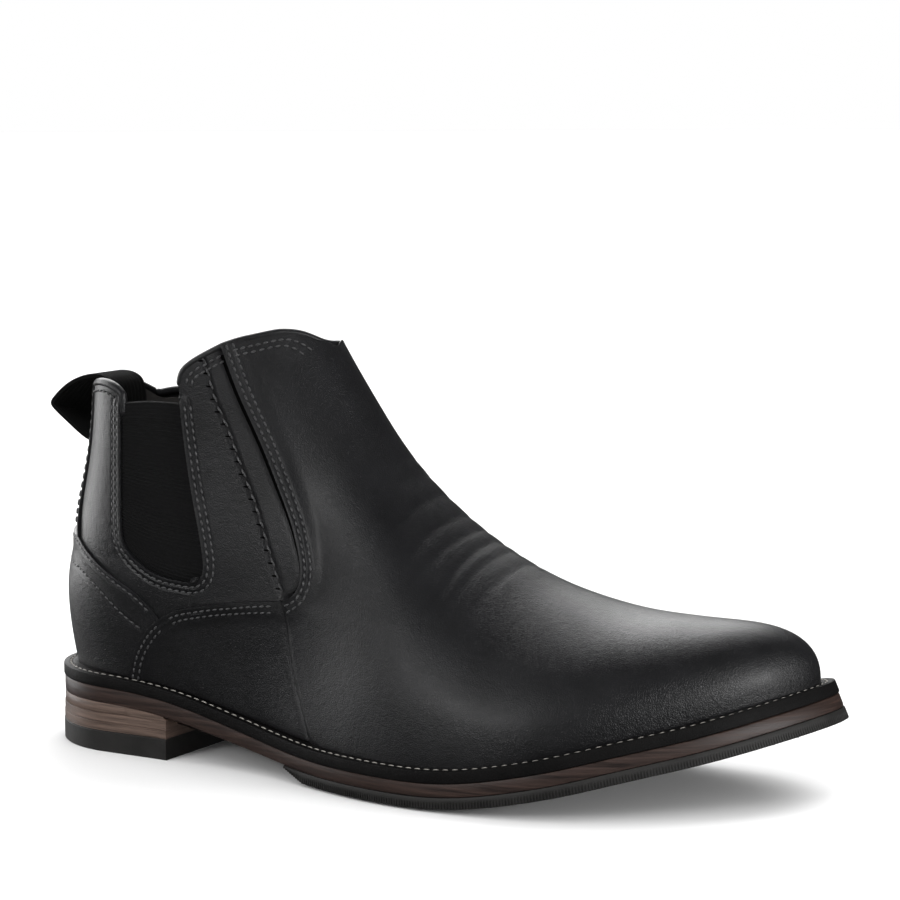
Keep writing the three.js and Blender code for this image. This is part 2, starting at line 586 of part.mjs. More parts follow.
// Layer between two side-view lines. `plan` gives y of each side at a station.
function layer(xs, plan, top, bottom) {
  const soup = new Soup();
  const section = xs.map((x) => [-1, 1].map((side) => [top, bottom].map((line) => {
    const [px, pz] = line(x);
    return new THREE.Vector3(px, plan(x, side), pz);
  })));
  for (let i = 0; i < xs.length - 1; i += 1) {
    const [[lt, lb], [mt, mb]] = section[i];
    const [[lt2, lb2], [mt2, mb2]] = section[i + 1];
    soup.quad(lt, lt2, mt2, mt);
    soup.quad(lb, mb, mb2, lb2);
    soup.quad(lt, lb, lb2, lt2);
    soup.quad(mt, mt2, mb2, mb);
  }
  const first = section[0];
  const last = section[section.length - 1];
  soup.quad(first[0][0], first[1][0], first[1][1], first[0][1]);
  soup.quad(last[0][0], last[0][1], last[1][1], last[1][0]);
  return soup.geometry();
}

const MIDSOLE_TOP = WELT_THICKNESS + LAYER_GAP;
const OUTSOLE_TOP = MIDSOLE_TOP + MIDSOLE_THICKNESS + LAYER_GAP;
const WAIST_EXTRA = 1.2;       // the midsole is thicker at the heel than at the ball
function midsoleBottom(x) {
  return MIDSOLE_TOP + MIDSOLE_THICKNESS + WAIST_EXTRA * (1 - ease(60 * SX, 120 * SX, x));
}

function makeWelt() {
  const xs = soleStations(0, SOLE_LENGTH, 36, true, true);
  const inner = soleStations(WELT_BAND, SOLE_LENGTH - WELT_BAND, 36, true, true);
  const loop = (stations, inset) => [
    ...stations.map((x) => [x, solePlan(x, -1, inset)]),
    ...stations.slice(1, -1).reverse().map((x) => [x, solePlan(x, 1, inset)]),
  ];
  const rings = [[loop(xs, 0), 0], [loop(inner, WELT_BAND), 0],
    [loop(inner, WELT_BAND), WELT_THICKNESS], [loop(xs, 0), WELT_THICKNESS]].map(([ring, depth]) => {
    return ring.map(([x, y]) => {
      const [px, pz] = underWelt(x, depth);
      return new THREE.Vector3(px, y, pz);
    });
  });
  const soup = new Soup();
  const count = rings[0].length;
  for (let i = 0; i < count; i += 1) {
    const n = (i + 1) % count;
    for (let r = 0; r < 4; r += 1) {
      const s = (r + 1) % 4;
      soup.quad(rings[r][i], rings[r][n], rings[s][n], rings[s][i]);
    }
  }
  add('welt', soup.geometry(), WELT_BLACK);
}

const MIDSOLE_INSET = 0.4;     // from the edge of the welt
const OUTSOLE_INSET = 0.2;
const OUTSOLE_START = 121;     // where the rubber forepart begins, thin
const OUTSOLE_RAMP = 9;        // and over how long it reaches its thickness
const OUTSOLE_FEATHER = 0.8;
function makeSole() {
  const whole = soleStations(0, SOLE_LENGTH, 36, true, true);
  const midsoleTop = (x) => underWelt(x, MIDSOLE_TOP);
  const midsoleUnder = (x) => underWelt(x, midsoleBottom(x));
  add('midsole', layer(whole, insetPlan(MIDSOLE_INSET), midsoleTop, midsoleUnder), STACKED_BROWN);
  const full = OUTSOLE_START + OUTSOLE_RAMP;
  const fore = [OUTSOLE_START * SX, full * SX,
    ...soleStations((full + 5) * SX, SOLE_LENGTH, 30, false, true)];
  const tread = (x) => {
    const ramp = clamp01((x / SX - OUTSOLE_START) / OUTSOLE_RAMP);
    const [px, pz] = underWelt(x, OUTSOLE_TOP + lerp(OUTSOLE_FEATHER, OUTSOLE_THICKNESS, ramp));
    return [px, Math.max(pz, 0)];
  };
  const outsole = layer(fore, insetPlan(OUTSOLE_INSET), (x) => underWelt(x, OUTSOLE_TOP), tread);
  add('outsole_forepart', outsole, BLACK_RUBBER);
}

// Half-breadth of a layer that lies inside the lining, from `from` to `to`, `inset` off the leather.
function footbedPlan(x, side, from, to, inset) {
  const heelEnd = back(SEAT);
  const stretched = lerp(heelEnd, TOE_END * SX, (x - from) / (to - from));
  const line = side < 0 ? outerLine(x / SX) : innerLine(x / SX);
  const straight = SY * Math.abs(line - centreLine(x / SX));
  return halfBreadth(stretched, weltTop(stretched) + FOOTBED_LIFT, side) * (1 - inset / straight);
}

function footbed(from, to, inset, low, high) {
  const xs = soleStations(from * SX, to * SX, 28, true, true);
  const plan = (x, side) => centre(x) + side * footbedPlan(x, side, from * SX, to * SX, inset);
  return layer(xs, plan, (x) => underWelt(x, -high), (x) => underWelt(x, -low));
}

function makeFootbed() {
  const board = SEAT_GAP + INSOLE_THICKNESS;
  add('insole_board', footbed(11.5, 285, 6.6, SEAT_GAP, board), BOARD_TAN);
  const sock = board + SEAT_GAP;
  add('sock_liner', footbed(12, 284.5, 7.0, sock, sock + SOCK_THICKNESS), LINING_GREY);
}

function makeFiller() {
  const xs = soleStations(FILLER.from * SX, FILLER.to * SX, 20, false, true);
  const depth = SEAT_GAP;
  const filler = layer(xs, insetPlan(WELT_BAND + 1.5), (x) => underWelt(x, depth),
    (x) => underWelt(x, depth + FILLER.thickness));
  add('cork_filler', filler, CORK_TAN);
  const shank = new Soup();
  const stations = soleStations(SHANK.from * SX, SHANK.to * SX, 16, false, false);
  const rings = stations.map((x) => {
    const [tx, tz] = underWelt(x, SHANK.depth);
    const [bx, bz] = underWelt(x, SHANK.depth + SHANK.thickness);
    const w = SHANK.width / 2;
    return [[tx, -w, tz], [tx, w, tz], [bx, w, bz], [bx, -w, bz]].map(([px, py, pz]) => {
      return new THREE.Vector3(px, centre(x) + py, pz);
    });
  });
  prism(shank, rings);
  add('steel_shank', shank.geometry(), STEEL);
}

// Closed tube of four-cornered rings
function prism(soup, rings) {
  for (let i = 0; i < rings.length - 1; i += 1) {
    for (let r = 0; r < 4; r += 1) {
      const s = (r + 1) % 4;
      soup.quad(rings[i][r], rings[i + 1][r], rings[i + 1][s], rings[i][s]);
    }
  }
  const last = rings[rings.length - 1];
  soup.quad(rings[0][0], rings[0][1], rings[0][2], rings[0][3]);
  soup.quad(last[3], last[2], last[1], last[0]);
}

// ---------- heel ----------
function solid(wasm, geometry) {
  const mesh = new wasm.Mesh({
    numProp: 3,
    vertProperties: new Float32Array(geometry.getAttribute('position').array),
    triVerts: new Uint32Array(geometry.getIndex().array),
  });
  return new wasm.Manifold(mesh);
}
function fromSolid(manifold) {
  const mesh = manifold.getMesh();
  const geometry = new THREE.BufferGeometry();
  geometry.setAttribute('position', new THREE.Float32BufferAttribute(mesh.vertProperties, 3));
  geometry.setIndex(Array.from(mesh.triVerts));
  return geometry;
}

function nailPlaces() {
  const at = (x, side) => [x * SX, solePlan(x * SX, side, NAIL_INSET)];
  const rear = [(NAIL_INSET + 2) * SX, centre(NAIL_INSET * SX)];
  return [at(52, -1), at(32, -1), rear, at(32, 1), at(52, 1)];
}

async function makeHeel() {
  const wasm = await Module();
  wasm.setup();
  const breast = HEEL_LENGTH * SX;
  const stackTop = (x) => underWelt(x, midsoleBottom(x) + LAYER_GAP)[1];
  const liftTop = stackTop(breast) - WEDGE_FRONT;
  const liftThickness = (liftTop - TOP_PIECE_THICKNESS) / LIFT_COUNT - LAYER_GAP;
  const levels = [[0, TOP_PIECE_THICKNESS]];
  for (let i = 0; i < LIFT_COUNT; i += 1) {
    const low = levels[i][1] + LAYER_GAP;
    levels.push([low, low + liftThickness]);
  }
  const xs = soleStations(0, breast, 18, true, false);
  const flare = (z) => HEEL_FLARE * (1 - z / stackTop(breast));
  const boreLength = NAIL_LENGTH + 2 * NAIL_SINK;
  const boreRadius = NAIL_DIAMETER / 2 + NAIL_CLEARANCE;
  const bore = new THREE.CylinderGeometry(boreRadius, boreRadius, boreLength, 10);
  bore.rotateX(Math.PI / 2);
  const names = ['heel_top_piece', 'heel_lift_lower', 'heel_lift_upper'];
  levels.forEach(([low, high], i) => {
    const plan = insetPlan(HEEL_INSET - flare((low + high) / 2));
    const plate = layer(xs, plan, (x) => [x, high], (x) => [x, low]);
    let body = solid(wasm, plate);
    nailPlaces().forEach(([x, y]) => {
      const hole = cleanCylinder(bore, x, y, (boreLength - NAIL_SINK) / 2);
      body = body.subtract(solid(wasm, hole));
    });
    const name = names[i] ?? `heel_lift_${i}`;
    add(name, fromSolid(body), i ? STACKED_BROWN : BLACK_RUBBER);
  });
  const nail = new THREE.CylinderGeometry(NAIL_DIAMETER / 2, NAIL_DIAMETER / 2, NAIL_LENGTH, 10);
  nail.rotateX(Math.PI / 2);
  nailPlaces().forEach(([x, y], i) => {
    add(`heel_nail_${i + 1}`, cleanCylinder(nail, x, y, NAIL_SINK + NAIL_LENGTH / 2), STEEL);
  });
  const wedgeLow = levels[LIFT_COUNT][1] + LAYER_GAP;
  const wedgeTop = (x) => underWelt(x, midsoleBottom(x) + LAYER_GAP);
  const wedge = layer(xs, insetPlan(HEEL_INSET), wedgeTop, (x) => [x, wedgeLow]);
  add('heel_wedge', wedge, STACKED_BROWN);
}

function cleanCylinder(cylinder, x, y, z) {
  const soup = new Soup();
  const position = cylinder.getAttribute('position');
  const index = cylinder.getIndex();
  const point = (i) => new THREE.Vector3().fromBufferAttribute(position, index.getX(i))
    .add(new THREE.Vector3(x, y, z));
  for (let i = 0; i < index.count; i += 3) soup.tri(point(i), point(i + 1), point(i + 2));
  return soup.geometry();
}

// ---------- pull loop ----------
// Webbing tape: a strip of constant width along a side-view path, twisted a little at its fold.
function tape(path, twist, count) {
  const curve = new THREE.SplineCurve(path.map(([x, up]) => new THREE.Vector2(x * SX, SEAT + up * SZ)));
  const y = centre(back(SEAT + BACK_RIM * SZ));
  const rings = Array.from({ length: count + 1 }, (_, i) => {
    const t = i / count;
    const p = curve.getPointAt(t);
    const d = curve.getTangentAt(t);
    const lean = twist * Math.sin(Math.PI * t) ** 2;
    const across = new THREE.Vector3(lean * 0.7, 1, lean).normalize().multiplyScalar(TAPE_WIDTH / 2);
    const normal = new THREE.Vector3(-d.y, 0, d.x).multiplyScalar(TAPE_THICKNESS / 2);
    const c = new THREE.Vector3(p.x, y, p.y);
    return [[-1, -1], [1, -1], [1, 1], [-1, 1]].map(([a, b]) => {
      return c.clone().addScaledVector(across, a).addScaledVector(normal, b);
    });
  });
  const soup = new Soup();
  prism(soup, rings);
  return soup.geometry();
}

// X of the wall's inner face, `depth` inside the last, under the edge of the tape
function innerFace(up, depth) {
  const z = SEAT + up * SZ;
  const y = centre(back(z));
  return Math.max(...[-1, 1].map((side) => {
    let near = back(z);
    let far = BACK_CENTRE * SX;
    for (let i = 0; i < 30; i += 1) {
      const mid = (near + far) / 2;
      const p = lastPoint(mid, z, side);
      if (Math.abs(p.y - depth * p.normal.y - y) < TAPE_WIDTH / 2) near = mid;
      else far = mid;
    }
    const p = lastPoint(near, z, side);
    return p.x - depth * p.normal.x;
  }));
}

function makePullLoop() {
  const wall = LEATHER + LINING_GAP + STIFFENER + LINING_GAP + LINING;
  const clear = TAPE_CLEARANCE + TAPE_THICKNESS / 2;
  const inside = (up) => (innerFace(up, wall) + clear) / SX;
  const outside = (up) => (back(SEAT + up * SZ) - clear) / SX;
  const inner = [84, 89, 94, 99, 103].map((up) => [inside(up), up]);
  add('pull_loop_inner_tail', tape(inner, 0, 4), BLACK_ELASTIC);
  const outer = [87.2, 91, 95].map((up) => [outside(up), up]);
  add('pull_loop_outer_tail', tape(outer, 0, 2), BLACK_ELASTIC);
  const bight = [[11.5, 106.6], [5.5, 106], [0, 103.2], [-2.6, 99], [-0.5, 94.6], [5, 90.6],
    [13.6, 86.6]];
  add('pull_loop_bight', tape(bight, 0.25, 18), BLACK_ELASTIC);
}

// ---------- the boot ----------
makeVamp();
makeSide(-1, 'lateral');
makeSide(1, 'medial');
makeBack();
makeWelt();
makeSole();
makeFootbed();
makeFiller();
await makeHeel();
makePullLoop();

const group = new THREE.Group();
parts.forEach((mesh, name) => {
  mesh.name = name;
  group.add(mesh);
});
// origin at the middle of the bounding box, on the floor
const box = new THREE.Box3().setFromObject(group, true);
group.position.set(-(box.min.x + box.max.x) / 2, -(box.min.y + box.max.y) / 2, -box.min.z);
group.updateMatrixWorld(true);

export default group;
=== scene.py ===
import math

import bmesh
import bpy
import numpy as np
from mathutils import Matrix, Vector


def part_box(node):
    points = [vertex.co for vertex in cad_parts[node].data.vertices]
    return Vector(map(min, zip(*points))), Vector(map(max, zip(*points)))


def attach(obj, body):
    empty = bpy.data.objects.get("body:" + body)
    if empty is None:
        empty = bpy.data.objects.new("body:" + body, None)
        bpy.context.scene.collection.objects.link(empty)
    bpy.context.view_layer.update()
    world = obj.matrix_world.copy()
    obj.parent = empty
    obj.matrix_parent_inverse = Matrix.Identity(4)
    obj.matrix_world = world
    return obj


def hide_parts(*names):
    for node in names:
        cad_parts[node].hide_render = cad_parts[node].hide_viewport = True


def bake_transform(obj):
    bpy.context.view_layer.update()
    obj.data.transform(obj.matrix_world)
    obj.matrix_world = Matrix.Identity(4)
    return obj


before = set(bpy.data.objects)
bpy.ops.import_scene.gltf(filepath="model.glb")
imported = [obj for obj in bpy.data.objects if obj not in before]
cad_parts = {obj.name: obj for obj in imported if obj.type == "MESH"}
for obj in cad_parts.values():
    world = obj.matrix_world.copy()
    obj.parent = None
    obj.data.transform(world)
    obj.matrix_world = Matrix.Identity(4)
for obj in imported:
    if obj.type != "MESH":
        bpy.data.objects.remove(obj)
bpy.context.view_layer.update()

MM = 0.001
SOLE_LENGTH = 300.0
SOLE_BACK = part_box("welt")[0].x          # the last's x = 0
LAST_MIDDLE = 0.00438                    # the last's y = 0 in the row frame
LEATHER, LINING, ELASTIC_THICK = 1.5, 1.0, 1.2
LINING_DEPTH = 3.6
TOE_END = 292.5
TOE_FRONT = TOE_END - 0.03
LATERAL, MEDIAL = -1, 1
SIDES = {LATERAL: "lateral", MEDIAL: "medial"}


def place(points):
    """Points of the last's frame, in millimetres, as metres of the row frame."""
    points = np.asarray(points, float)
    return points * MM + np.array([SOLE_BACK, LAST_MIDDLE, 0.0])


# ---------- the last ----------
def fair(stations):
    """Natural cubic spline through (x, y) stations, straight outside them."""
    xs, ys = np.array(stations, float).T
    n = len(xs)
    h = np.diff(xs)
    slopes = np.diff(ys) / h
    matrix = np.zeros((n, n))
    matrix[0, 0] = matrix[-1, -1] = 1
    right = np.zeros(n)
    for i in range(1, n - 1):
        matrix[i, i - 1:i + 2] = h[i - 1], 2 * (h[i - 1] + h[i]), h[i]
        right[i] = 6 * (slopes[i] - slopes[i - 1])
    bend = np.linalg.solve(matrix, right)

    def line(x):
        x = np.asarray(x, float)
        inside = np.clip(x, xs[0], xs[-1])
        i = np.clip(np.searchsorted(xs, inside) - 1, 0, n - 2)
        t = inside - xs[i]
        slope = slopes[i] - h[i] * (2 * bend[i] + bend[i + 1]) / 6
        value = ys[i] + slope * t + bend[i] / 2 * t ** 2 + (bend[i + 1] - bend[i]) / (6 * h[i]) * t ** 3
        first = slopes[0] - h[0] * bend[1] / 6
        final = slopes[-1] + h[-1] * bend[-2] / 6
        return value + np.where(x < xs[0], first, final) * (x - inside)

    return line


def ease(a, b, x):
    t = np.clip((np.asarray(x, float) - a) / (b - a), 0, 1)
    return t * t * (3 - 2 * t)


def round_off(x, start, end, p, q):
    """1 before start, falling to 0 at end as a quarter of a superellipse."""
    return (1 - np.clip((x - start) / (end - start), 0, 1) ** p) ** (1 / q)


FOREPART = 4.4 + 4.6 + 4.6 + 0.4         # welt, midsole, outsole and the glue lines
rise_share = fair([(0, 1), (30, 0.986), (50, 0.92), (70, 0.75), (90, 0.473), (110, 0.196), (130, 0.027),
                   (150, 0), (170, 0), (300, 0)])
spring_share = fair([(0, 0), (150, 0), (170, 0), (185, 0.015), (200, 0.075), (215, 0.18), (230, 0.31),
                     (245, 0.46), (260, 0.6), (275, 0.74), (290, 0.89), (304, 1.03)])
centre = fair([(0, -2), (60, -2), (120, 0), (180, 3), (230, 9), (270, 16), (296, 22)])
outer_line = fair([(0, -31), (30, -33), (60, -34.5), (90, -37), (110, -40), (130, -46), (150, -52.5),
                   (170, -56.5), (190, -57.5), (210, -55.5), (230, -51), (250, -43), (270, -35),
                   (300, -24)])
inner_line = fair([(0, 27.5), (30, 29.5), (60, 29.5), (90, 26.5), (110, 26.5), (130, 29), (150, 34),
                   (170, 40), (190, 44.5), (210, 47.3), (230, 48.3), (250, 48), (270, 47), (300, 45)])
top_line = fair([(105, 148.4), (117, 131.8), (128, 117.1), (138, 103.6), (148, 92.2), (158, 82.7),
                 (168, 74.6), (178, 67.7), (198, 55.7), (214, 47.5), (232, 39.5), (250, 33.2),
                 (266, 28.7), (280, 24.8), (296, 19.6)])
back_line = fair([(-8.6, 6), (1.4, 3.8), (13.4, 2.2), (23.4, 2), (33.4, 3), (45.4, 6.2), (57.4, 10),
                  (71.4, 14), (86.4, 17), (103.4, 18.8), (121.4, 19.5)])
shaft_line = fair([(-8.6, 34), (11.4, 36.5), (31.4, 37.5), (51.4, 37), (71.4, 35.5), (91.4, 34.5),
                   (111.4, 34.3), (131.4, 34.3)])
BACK_CENTRE = 48.0


def welt_top(x):
    return FOREPART + 14.8 * rise_share(x) + 26.5 * spring_share(x)


SEAT = float(welt_top(0))


def edge_of_foot(x, side):
    line = np.where(side < 0, outer_line(x), inner_line(x))
    turn = np.where(side < 0, round_off(x, 205, TOE_END, 2.3, 1.7), round_off(x, 245, TOE_END, 2.6, 2))
    return np.abs(line - centre(x)) * turn


def ridge(x):
    return welt_top(x) + top_line(x) * round_off(x, 256, TOE_END, 3.4, 2.8)


def back(z):
    return back_line(z - SEAT)


RIDGE_XS = np.linspace(95, TOE_END, 4000)
RIDGE_ZS = np.minimum.accumulate(ridge(RIDGE_XS))


def front(z):
    return np.interp(-z, -RIDGE_ZS, RIDGE_XS)


def half_breadth(x, z, side):
    rise = z - welt_top(x)
    fore = ease(90, 170, x)
    up = np.clip(rise / 55, 0, 1)
    bulge = 2.2 * np.sin(np.pi * np.clip(rise / 45, 0, 1)) * (1 - ease(40, 110, x))
    foot = edge_of_foot(x, side)
    breadth = foot + (shaft_line(z - SEAT) - foot) * ease(0, 1, up) * (1 - fore) + bulge
    q = np.clip(rise / np.maximum(ridge(x) - welt_top(x), 1e-6), 0, 1)
    over = np.sqrt(1 - q ** (2.1 + 0.5 * ease(200, 270, x)))
    u = np.clip((x - BACK_CENTRE) / np.maximum(front(z) - BACK_CENTRE, 1e-6), 0, 1)
    shin = np.sqrt(1 - u ** 2.2)
    v = np.clip((BACK_CENTRE - x) / (BACK_CENTRE - back(z)), 0, 1)
    return breadth * (shin * (1 - fore) + over * fore) * np.sqrt(1 - v * v)


def on_last(x, z, side):
    """Points of the last under side-view points, and their outward normals."""
    x, z = np.asarray(x, float), np.asarray(z, float)
    h = 0.2

    def square(a, b):
        return half_breadth(a, b, side) ** 2

    across = side * half_breadth(x, z, side)
    bow = (centre(x + h) - centre(x - h)) / (2 * h)
    points = np.stack([x, centre(x) + across, z], -1)
    normals = np.stack([-2 * across * bow - (square(x + h, z) - square(x - h, z)) / (2 * h), 2 * across,
                        -(square(x, z + h) - square(x, z - h)) / (2 * h)], -1)
    return points, normals / np.maximum(np.linalg.norm(normals, axis=-1, keepdims=True), 1e-9)


MEDIAL_DROP = 11.0                       # how much lower the collar is on the inner side


def laid(x, z, side):
    """Points of the pattern on the last. The inner side is let down towards the collar, except at the
    ridge and the back seam, where both sides meet."""
    x, z = np.asarray(x, float), np.asarray(z, float)
    if side == LATERAL:
        return on_last(x, z, side)
    along_foot = 0.62 * ease(18.5, 25, x) + 0.38 * ease(26, 46, x)
    share = ease(66, 104, z - welt_top(x)) * along_foot * ease(0, 7, ridge(x) - z)
    return on_last(x, z - MEDIAL_DROP * share, side)


# ---------- lines of the pattern, (x, height above the welt) ----------
COLLAR_PEAK = 115.2                      # where the collar meets the ridge
COLLAR_FRONT = [(COLLAR_PEAK, 133.9), (113.2, 135.6), (110.4, 137.3), (107.4, 138.2), (103.6, 138),
                (97.3, 135.3), (91.3, 132.4), (85.5, 129)]
COLLAR_QUARTER = [(69.8, 111), (70.8, 116), (74.2, 120.2), (79.7, 124.6), (85.5, 129)]
VAMP_EDGE = [(85.5, 129), (92.5, 113.8), (101, 99), (109, 84.8), (116.2, 72), (120.3, 61.8), (121.2, 56.6),
             (120.2, 51.5), (117.5, 48), (114.4, 46)]
SIDE_SEAM = [(114.4, 46), (116.2, 33.6), (119.6, 20.3), (123.7, 10.4), (128, 0.3)]
GORE_TOP = [(45.3, 100.8), (53, 102.4), (62, 103.8), (70.6, 104.6)]
GORE_FRONT = [(70.6, 104.6), (71.6, 96.4), (74.7, 79.3), (77.3, 69), (79.9, 59), (81.4, 51), (80.9, 46.6),
              (78.8, 43.8), (75.4, 42.4)]
GORE_FOOT = [(51, 47.2), (54.6, 44.8), (60.9, 42.3), (67.3, 41.7), (75.4, 42.4)]
GORE_BACK = [(45.3, 100.8), (45.1, 88.4), (45.3, 74), (46.3, 56), (47.9, 50.4), (51, 47.2)]
QUARTER_SEAM = [(75.4, 42.4), (75.6, 38), (75.8, 33.3)]
FOXING_TOP = [(62.2, 26), (69.5, 30.6), (75.8, 33.3), (83.9, 36.6), (92.2, 39.6), (102.2, 43), (114.4, 46)]
FOXING_BACK = [(62.2, 26), (57, 21.2), (52.4, 15.4), (48.6, 9), (45.6, 0.3)]
COUNTER_TOP = [(22.5, 49.6), (30.5, 44.6), (41.1, 39.2), (54.3, 32.8), (62.2, 26)]
BACKSTAY_EDGE = [(23.2, 105.2), (22.2, 92), (20.4, 74), (20.2, 60), (22.5, 49.6)]
BACK_TOP = [(23.2, 105.2), (30, 107), (37, 107.6), (42.5, 106.4), (45.3, 104.5)]
LOCK_SEAM = [(77.5, 124.5), (79.7, 121.4), (83.7, 109.9), (88.7, 100.5), (93.7, 89.5), (100.2, 77),
             (107.2, 61.2), (113, 48.5)]
COUNTER_PEAK = 51.4
BACK_RIM = 104.0


def side_view(x, up):
    return np.array([x, float(welt_top(x)) + up])


def curve(stations, count=40):
    """Smooth side-view line through pattern points."""
    points = np.array([side_view(*s) for s in stations])
    reach = np.concatenate([[0], np.cumsum(np.linalg.norm(np.diff(points, axis=0), axis=1) ** 0.5)])
    t = np.linspace(0, reach[-1], count + 1)
    if len(points) == 2:
        return np.stack([np.interp(t, reach, points[:, k]) for k in (0, 1)], 1)
    return np.stack([fair(np.stack([reach, points[:, k]], 1))(t) for k in (0, 1)], 1)


def chain(*lines):
    return np.concatenate([lines[0], *[line[1:] for line in lines[1:]]])


def feather(start, end, count=60):
    """Along the top of the welt."""
    x = np.linspace(start, end, count + 1)
    return np.stack([x, welt_top(x) - 0.4], 1)


def back_seam(start, end, count=40):
    z = SEAT + np.linspace(start, end, count + 1)
    return np.stack([back(z) + 1e-4, z], 1)


def ridge_line(start, end, count=160):
    x = end - (end - start) * (1 - np.arange(count + 1) / count) ** 1.7
    return np.stack([x, ridge(x) - 1e-4], 1)


def along(line, shares):
    """Points of a line at shares of its length."""
    reach = np.concatenate([[0], np.cumsum(np.linalg.norm(np.diff(line, axis=0), axis=1))])
    return np.stack([np.interp(np.asarray(shares) * reach[-1], reach, line[:, k]) for k in (0, 1)], 1)


def length_of(line):
    return np.linalg.norm(np.diff(line, axis=0), axis=1).sum()


def stops(lines, counts, gather=1.0):
    """Shares of a chain of lines at which rows lie, so many on each line."""
    lengths = [length_of(line) for line in lines]
    shares, before = [0.0], 0.0
    for k, (length, count) in enumerate(zip(lengths, counts)):
        power = gather if k == len(lines) - 1 else 1.0
        for i in range(1, count + 1):
            shares.append((before + length * (1 - (1 - i / count) ** power)) / sum(lengths))
        before += length
    return shares


def patch(left, right, top, bottom, rows, columns, gather=1.0):
    """Side-view grid between four lines; left and right are chains that run from top to bottom."""
    left_points = along(chain(*left), stops(left, rows["left"], gather))
    right_points = along(chain(*right), stops(right, rows["right"], gather))
    top_points, bottom_points = along(top, columns), along(bottom, columns)
    share = np.asarray(columns)[:, None]
    for points, end in ((top_points, 0), (bottom_points, -1)):
        points += ((left_points[end] - points[0]) * (1 - share) + (right_points[end] - points[-1]) * share)
    u = np.asarray(columns)[None, :, None]
    v = np.linspace(0, 1, len(left_points))[:, None, None]
    across = left_points[:, None] * (1 - u) + right_points[:, None] * u
    down = top_points[None] * (1 - v) + bottom_points[None] * v
    corners = ((top_points[0] * (1 - u) + top_points[-1] * u) * (1 - v)
               + (bottom_points[0] * (1 - u) + bottom_points[-1] * u) * v)
    return across + down - corners


def distance_to(line, x, z):
    """Side-view distance of points to a line."""
    points = np.stack([np.ravel(x), np.ravel(z)], 1)
    best = np.full(len(points), 1e9)
    for a, b in zip(line[:-1], line[1:]):
        run = b - a
        t = np.clip(((points - a) @ run) / max(run @ run, 1e-9), 0, 1)
        best = np.minimum(best, np.linalg.norm(points - a - t[:, None] * run, axis=1))
    return best.reshape(np.shape(x))


def offset_line(line, distance):
    """The line moved square to itself; positive is to the left of its run."""
    run = np.gradient(line, axis=0)
    run /= np.maximum(np.linalg.norm(run, axis=1, keepdims=True), 1e-9)
    return line + distance * np.stack([-run[:, 1], run[:, 0]], 1)


VAMP_EDGE_LINE = curve(VAMP_EDGE)
SIDE_SEAM_LINE = curve(SIDE_SEAM)
FOXING_TOP_LINE = curve(FOXING_TOP)
FOXING_BACK_LINE = curve(FOXING_BACK)
COUNTER_TOP_LINE = chain(curve([(2.2, COUNTER_PEAK), (12, 50.9), (22.5, 49.6)]), curve(COUNTER_TOP))
COUNTER_ROW = curve([(4, 40.8), (15, 39.6), (26.7, 36.6), (37.9, 29.9), (46.7, 23.6), (53, 20.2)])
GORE_LINE = chain(curve(GORE_BACK), curve(GORE_FOOT), curve(GORE_FRONT)[::-1])
BACKSTAY_LINE = curve(BACKSTAY_EDGE)
LOCK_SEAM_LINE = curve(LOCK_SEAM, 60)
SIDE_FOOT, FOXING_FOOT, LINING_JOIN = 128.0, 45.6, 45.0     # x of the seams where they reach the welt
LINING_JOIN_LINE = np.array([side_view(LINING_JOIN, 100.4 - 4.2 * i) for i in range(25)])
BACKSTAY_CORNER, BACKSTAY_FOOT = side_view(*BACKSTAY_EDGE[0]), side_view(*BACKSTAY_EDGE[-1])


# How far each panel stands off the last: a lapped edge climbs over its neighbour, a closed seam sinks.
def lap(line, height, run, x, z):
    return height * (1 - ease(0, run, distance_to(line, x, z)))


def creases(x, z):
    """Fine folds across the instep and over the joint of the toes."""
    up = (z - welt_top(x)) / np.maximum(ridge(x) - welt_top(x), 1)
    waves = np.zeros(np.shape(x))
    for i, (at, lean, deep) in enumerate([(150, 16, .22), (156.5, 20, .30), (163, 14, .34), (169, 22, .26),
                                          (176, 12, .36), (183, 18, .24), (191, 10, .2), (144, 14, .16)]):
        drift = 1.6 * np.sin(5.1 * up + i)
        run = x - at + lean * (1 - up) - drift
        waves -= deep * np.exp(-(run / 1.3) ** 2) * np.exp(-((up - 0.93 + 0.03 * (i % 3)) / 0.22) ** 2)
    return waves


NEAR_ROW, FAR_ROW = 1.7, 3.8             # the double row of stitches, from the edge of its panel
CHANNEL_DEPTH, CHANNEL_WIDTH = 0.42, 0.55


def stitch_channels(line, x, z, rows=(NEAR_ROW, FAR_ROW)):
    """The leather drawn down along its stitch rows."""
    away = distance_to(line, x, z)
    return sum(-CHANNEL_DEPTH * np.exp(-((away - row) / CHANNEL_WIDTH) ** 2) for row in rows)


def vamp_lift(x, z):
    raised = lap(VAMP_EDGE_LINE, 2.1, 9, x, z) + stitch_channels(VAMP_EDGE_LINE, x, z)
    sunk = lap(SIDE_SEAM_LINE, 0.7, 2.0, x, z)
    return raised - sunk * (z < side_view(114, 43)[1]) + creases(x, z)


def quarter_lift(x, z):
    """Lapped round the gore, drawn down under the lock seam and sunk where the vamp's edge covers it."""
    seam = -0.75 * np.exp(-(distance_to(LOCK_SEAM_LINE, x, z) / 0.9) ** 2)
    behind = -0.9 * np.exp(-(distance_to(VAMP_EDGE_LINE, x, z) / 1.6) ** 2)
    return lap(GORE_LINE, 0.8, 5.5, x, z) + stitch_channels(GORE_LINE, x, z) + seam + behind


def foxing_lift(x, z):
    edge = chain(FOXING_BACK_LINE[::-1], FOXING_TOP_LINE)
    return (lap(edge, 1.4, 8, x, z) + stitch_channels(edge, x, z)
            - lap(SIDE_SEAM_LINE, 0.7, 2.0, x, z))


